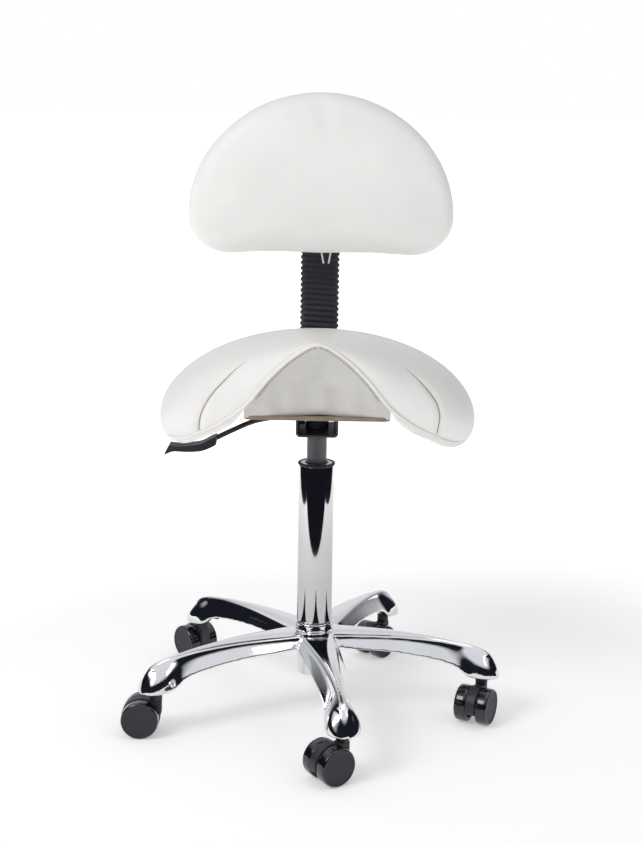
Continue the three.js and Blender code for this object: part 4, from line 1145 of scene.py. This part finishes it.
def inflate(piece, voxel, pressure, most, held):
    """Cloth simulation of a filled cover, remeshed first; voxel and most are in millimetres.

    Points where held is true stay, and no point moves further than most."""
    fuse = piece.modifiers.new("fuse", "REMESH")
    fuse.mode = "VOXEL"
    fuse.voxel_size = voxel * MM
    apply_modifiers(piece)
    start = np.empty(len(piece.data.vertices) * 3)
    piece.data.vertices.foreach_get("co", start)
    start = start.reshape(-1, 3)
    pins = piece.vertex_groups.new(name="held")
    pins.add([int(i) for i in np.flatnonzero(held(start))], 1.0, "REPLACE")
    cloth = piece.modifiers.new("fill", "CLOTH")
    settings = cloth.settings
    settings.quality = 6
    settings.mass = 0.3
    settings.tension_stiffness = settings.compression_stiffness = 40
    settings.shear_stiffness = 20
    settings.bending_stiffness = 8
    settings.use_pressure = True
    settings.uniform_pressure_force = pressure
    settings.vertex_group_mass = "held"
    settings.effector_weights.gravity = 0
    cloth.point_cache.frame_start = 1
    cloth.point_cache.frame_end = CLOTH_FRAMES
    for frame_number in range(1, CLOTH_FRAMES + 1):
        bpy.context.scene.frame_set(frame_number)
    shown = piece.evaluated_get(bpy.context.evaluated_depsgraph_get()).to_mesh()
    moved = np.empty(len(shown.vertices) * 3)
    shown.vertices.foreach_get("co", moved)
    piece.modifiers.remove(cloth)
    piece.vertex_groups.remove(pins)
    step = moved.reshape(-1, 3) - start
    size = np.linalg.norm(step, axis=1)[:, None]
    step *= np.minimum(1, most * MM / np.maximum(size, 1e-9))
    piece.data.vertices.foreach_set("co", (start + step).ravel())
    piece.data.update()
    bpy.context.scene.frame_set(1)
    return piece


def backrest_cushion():
    """The pad in rings: out over its crowned face, round its front edge, and in over its rear."""
    outline = pad_outline()
    inner = inset_outline(outline, PAD_FRONT_EDGE)
    back = inset_outline(outline, PAD_REAR_EDGE)
    face_y = PAD_FRONT + PAD_CROWN
    layers = []
    for share in np.linspace(0.985, 0.03, 14):
        layers.append((toward_core(inner, share), face_y - PAD_CROWN * share ** 0.8))
    for angle in np.linspace(0, QUARTER, 9):
        ring = inset_outline(outline, PAD_FRONT_EDGE * (1 - math.sin(angle)))
        layers.append((ring, face_y + PAD_EDGE_DEPTH * (1 - math.cos(angle))))
    for angle in np.linspace(0.15, QUARTER, 6):
        ring = inset_outline(outline, PAD_REAR_EDGE * (1 - math.cos(angle)))
        layers.append((ring, lerp(PAD_SIDE_REAR, PAD_REAR, math.sin(angle))))
    for share in (0.3, 0.6, 0.985):
        layers.append((toward_core(back, share), PAD_REAR))
    rings = [[(x, y, z) for x, z in ring] for ring, y in layers]
    pad = capped_loft("backrest_pad", rings, LEATHERETTE)
    rear = to_row((0, PAD_REAR, 0))[1] - 6 * MM
    inflate(pad, 4.5, 4.0, 5.0, lambda places: places[:, 1] > rear)
    pad.data.shade_smooth()
    ease = pad.modifiers.new("ease", "SMOOTH")
    ease.factor = 0.5
    ease.iterations = 12
    settle(subdivide(pad, 1), "backrest", "padded_leatherette", "backrest_cushion")


def backrest_rear():
    board = prism("backrest_panel", inset_outline(pad_outline(), 16), 180.0, 189.0, PLYWOOD, "y", 1.0)
    settle(board, "backrest", "plywood", "backrest_board")
    covered = inset_outline(pad_outline(), 20)
    cover = prism("backrest_back_cover", covered, 189.3, 191.8, LEATHERETTE, "y", 0.9)
    window = prism("window", rounded_box((-45, 715), (45, 795), 5), 180, 200, LEATHERETTE, "y", 0)
    boolean(apply_modifiers(cover), window, "DIFFERENCE")
    rim = [(x, 185.2, z) for x, z in inset_outline(pad_outline(), 14.5)]
    settle(tube("backrest_cover_rim", rim, 4.7, LEATHERETTE, 18, True), "backrest", "leatherette")
    settle(cover, "backrest", "leatherette", "backrest_rear_cover")


TIES = {
    "backrest_tie_left": [(0.5, 193.5, 656), (0.8, 193.6, 648), (2, 192.5, 636), (5, 191, 621)],
    "backrest_tie_right": [(16.5, 193.5, 656), (16.3, 193.6, 648), (15, 192.5, 636), (12.5, 191, 621)],
}
TIE_DIAMETER = 2.5


def backrest_tie(node, route):
    line = even(smooth_line(route, 6), 24)
    curve = bpy.data.curves.new(f"{node}_cord", "CURVE")
    curve.dimensions = "3D"
    curve.bevel_depth = TIE_DIAMETER / 2 * MM
    curve.bevel_resolution = 4
    curve.use_fill_caps = True
    spline = curve.splines.new("POLY")
    spline.points.add(len(line) - 1)
    for point, place in zip(spline.points, to_row(line)):
        point.co = (*place, 1)
    spline.use_smooth = True
    curve.materials.append(TIE_CORD)
    cord = bpy.data.objects.new(f"{node}_cord", curve)
    bpy.context.scene.collection.objects.link(cord)
    settle(cord, "backrest", "tie_cord", node)


# ---------------------------------------------------------------- CAD nodes that stay

KEPT_NODES = {
    "thrust_bearing": (BRIGHT_STEEL, 0.4),
    "retaining_clip": (BRIGHT_STEEL, 0.4),
    "piston_rod": (BRIGHT_STEEL, 0.4),
    "valve_button": (BRIGHT_STEEL, 0.3),
    "mechanism_plate": (BLACK_STEEL, 0.9),
    "mechanism_channel": (BLACK_STEEL, 0.5),
    "taper_socket": (BLACK_STEEL, 0.5),
    "lever_pivot_pin": (BRIGHT_STEEL, 0.3),
    "bar_guide": (BLACK_STEEL, 0.8),
    "seat_board": (PLYWOOD, 0.8),
    "carrier_sleeve": (BLACK_PLASTIC, 1.5),
    "tilt_pin": (BRIGHT_STEEL, 0.4),
    "backrest_bracket": (BLACK_STEEL, 0.5),
}


def finish_kept_nodes():
    looks = dict(KEPT_NODES)
    for leg in range(1, LEGS + 1):
        looks[f"caster_{leg}_stem"] = (BRIGHT_STEEL, 0.4)
        looks[f"caster_{leg}_axle"] = (BRIGHT_STEEL, 0.4)
    for node, (material, edge) in looks.items():
        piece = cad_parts[node]
        piece.data.materials.clear()
        piece.data.materials.append(material)
        soften_edges(piece, edge, 2)


# ---------------------------------------------------------------- studio

def studio_world():
    """White behind the stool, even light all round, and in mirrors a dark room under a bright ceiling."""
    world = bpy.data.worlds.new("studio")
    bpy.context.scene.world = world
    world.use_nodes = True
    nodes, links = world.node_tree.nodes, world.node_tree.links
    ambient = nodes["Background"]
    ambient.inputs["Color"].default_value = (0.98, 0.985, 1.0, 1)
    ambient.inputs["Strength"].default_value = 0.4
    direction = nodes.new("ShaderNodeTexCoord").outputs["Generated"]
    split = nodes.new("ShaderNodeSeparateXYZ")
    links.new(direction, split.inputs["Vector"])
    front = to_range(nodes, links, split.outputs["Y"], 1, 0, 0.6, 0.92)
    below = to_range(nodes, links, split.outputs["Z"], 1, 0, 0.45, 0.62)
    both = nodes.new("ShaderNodeMath")
    both.operation = "MULTIPLY"
    links.new(front, both.inputs[0])
    links.new(below, both.inputs[1])
    shade = mix_colour(nodes, links, both.outputs[0], (0.95, 0.96, 1.0), (0.012, 0.013, 0.02))
    mirror = nodes.new("ShaderNodeBackground")
    links.new(shade, mirror.inputs["Color"])
    mirror.inputs["Strength"].default_value = 0.95
    backdrop = nodes.new("ShaderNodeBackground")
    backdrop.inputs["Color"].default_value = (1, 1, 1, 1)
    backdrop.inputs["Strength"].default_value = 1.0
    kind = nodes.new("ShaderNodeLightPath")
    glossy = nodes.new("ShaderNodeMixShader")
    links.new(kind.outputs["Is Glossy Ray"], glossy.inputs[0])
    links.new(ambient.outputs[0], glossy.inputs[1])
    links.new(mirror.outputs[0], glossy.inputs[2])
    chosen = nodes.new("ShaderNodeMixShader")
    links.new(kind.outputs["Is Camera Ray"], chosen.inputs[0])
    links.new(glossy.outputs[0], chosen.inputs[1])
    links.new(backdrop.outputs[0], chosen.inputs[2])
    links.new(chosen.outputs[0], nodes["World Output"].inputs["Surface"])


def area_light(name, place, target, size, power, colour=(1, 1, 1)):
    data = bpy.data.lights.new(name, "AREA")
    data.shape = "RECTANGLE"
    data.size, data.size_y = size
    data.energy = power
    data.color = colour
    light = bpy.data.objects.new(name, data)
    bpy.context.scene.collection.objects.link(light)
    light.location = place
    light.rotation_euler = (Vector(target) - Vector(place)).to_track_quat("-Z", "Y").to_euler()
    return light


def floor_sheet(name, low, high, height, material):
    mesh = bpy.data.meshes.new(name)
    (left, near), (right, far) = low, high
    corners = [(left, near, height), (right, near, height), (right, far, height), (left, far, height)]
    mesh.from_pydata(corners, [], [(0, 1, 2, 3)])
    mesh.materials.append(material)
    floor = bpy.data.objects.new(name, mesh)
    bpy.context.scene.collection.objects.link(floor)
    return floor


def studio():
    bpy.context.scene.view_settings.view_transform = "Standard"
    studio_world()
    paper = surface("paper", (0.93, 0.93, 0.93), (0.94, 0.94, 0.94), (0.8, 0.9), grain=3, depth=0.01,
                    patches=400, specular=0.05)
    shader = paper.node_tree.nodes["Principled BSDF"]
    shader.inputs["Emission Color"].default_value = (1, 1, 1, 1)
    nodes, links = paper.node_tree.nodes, paper.node_tree.links
    reach = nodes.new("ShaderNodeVectorMath")
    reach.operation = "LENGTH"
    links.new(nodes.new("ShaderNodeNewGeometry").outputs["Position"], reach.inputs[0])
    glow = to_range(nodes, links, reach.outputs["Value"], 0.34, 1.0, 0.55, 1.9)
    links.new(glow, shader.inputs["Emission Strength"])
    floor_sheet("floor_paper", (-1.5, -0.8), (1.5, 3.0), 0.0, paper)
    far = floor_sheet("floor_far", (-40, -40), (40, 60), -0.001, paper)
    far.visible_glossy = False
    area_light("key", (-1.9, -1.5, 2.3), (0, 0, 0.4), (1.2, 1.2), 31)
    area_light("fill", (1.9, -1.2, 2.2), (0, 0, 0.4), (0.9, 0.9), 3)
    area_light("top", (0, 0.4, 3.0), (0, 0, 0), (2.0, 2.0), 10)


# ---------------------------------------------------------------- build

for tie_node, tie_route in TIES.items():
    backrest_tie(tie_node, tie_route)
star_base()
for leg_number in range(LEGS):
    caster(leg_number)
gas_lift()
saddle_cushion()
saddle_piping()
saddle_gusset()
wing_seams()
front_panel()
panel_stitches()
seat_shell()
plate_bolts()
release_lever()
knob("depth_clamp", 17, 18, 6.5, "depth_knob", "depth_knob", (0, 102, 426.2), UPRIGHT)
back_bar()
bellows()
knob("height_clamp", 19, 22, 10, "height_knob", "height_knob", (0, 230.5, 735), TOP_TO_FRONT)
backrest_cushion()
backrest_rear()
finish_kept_nodes()
studio()
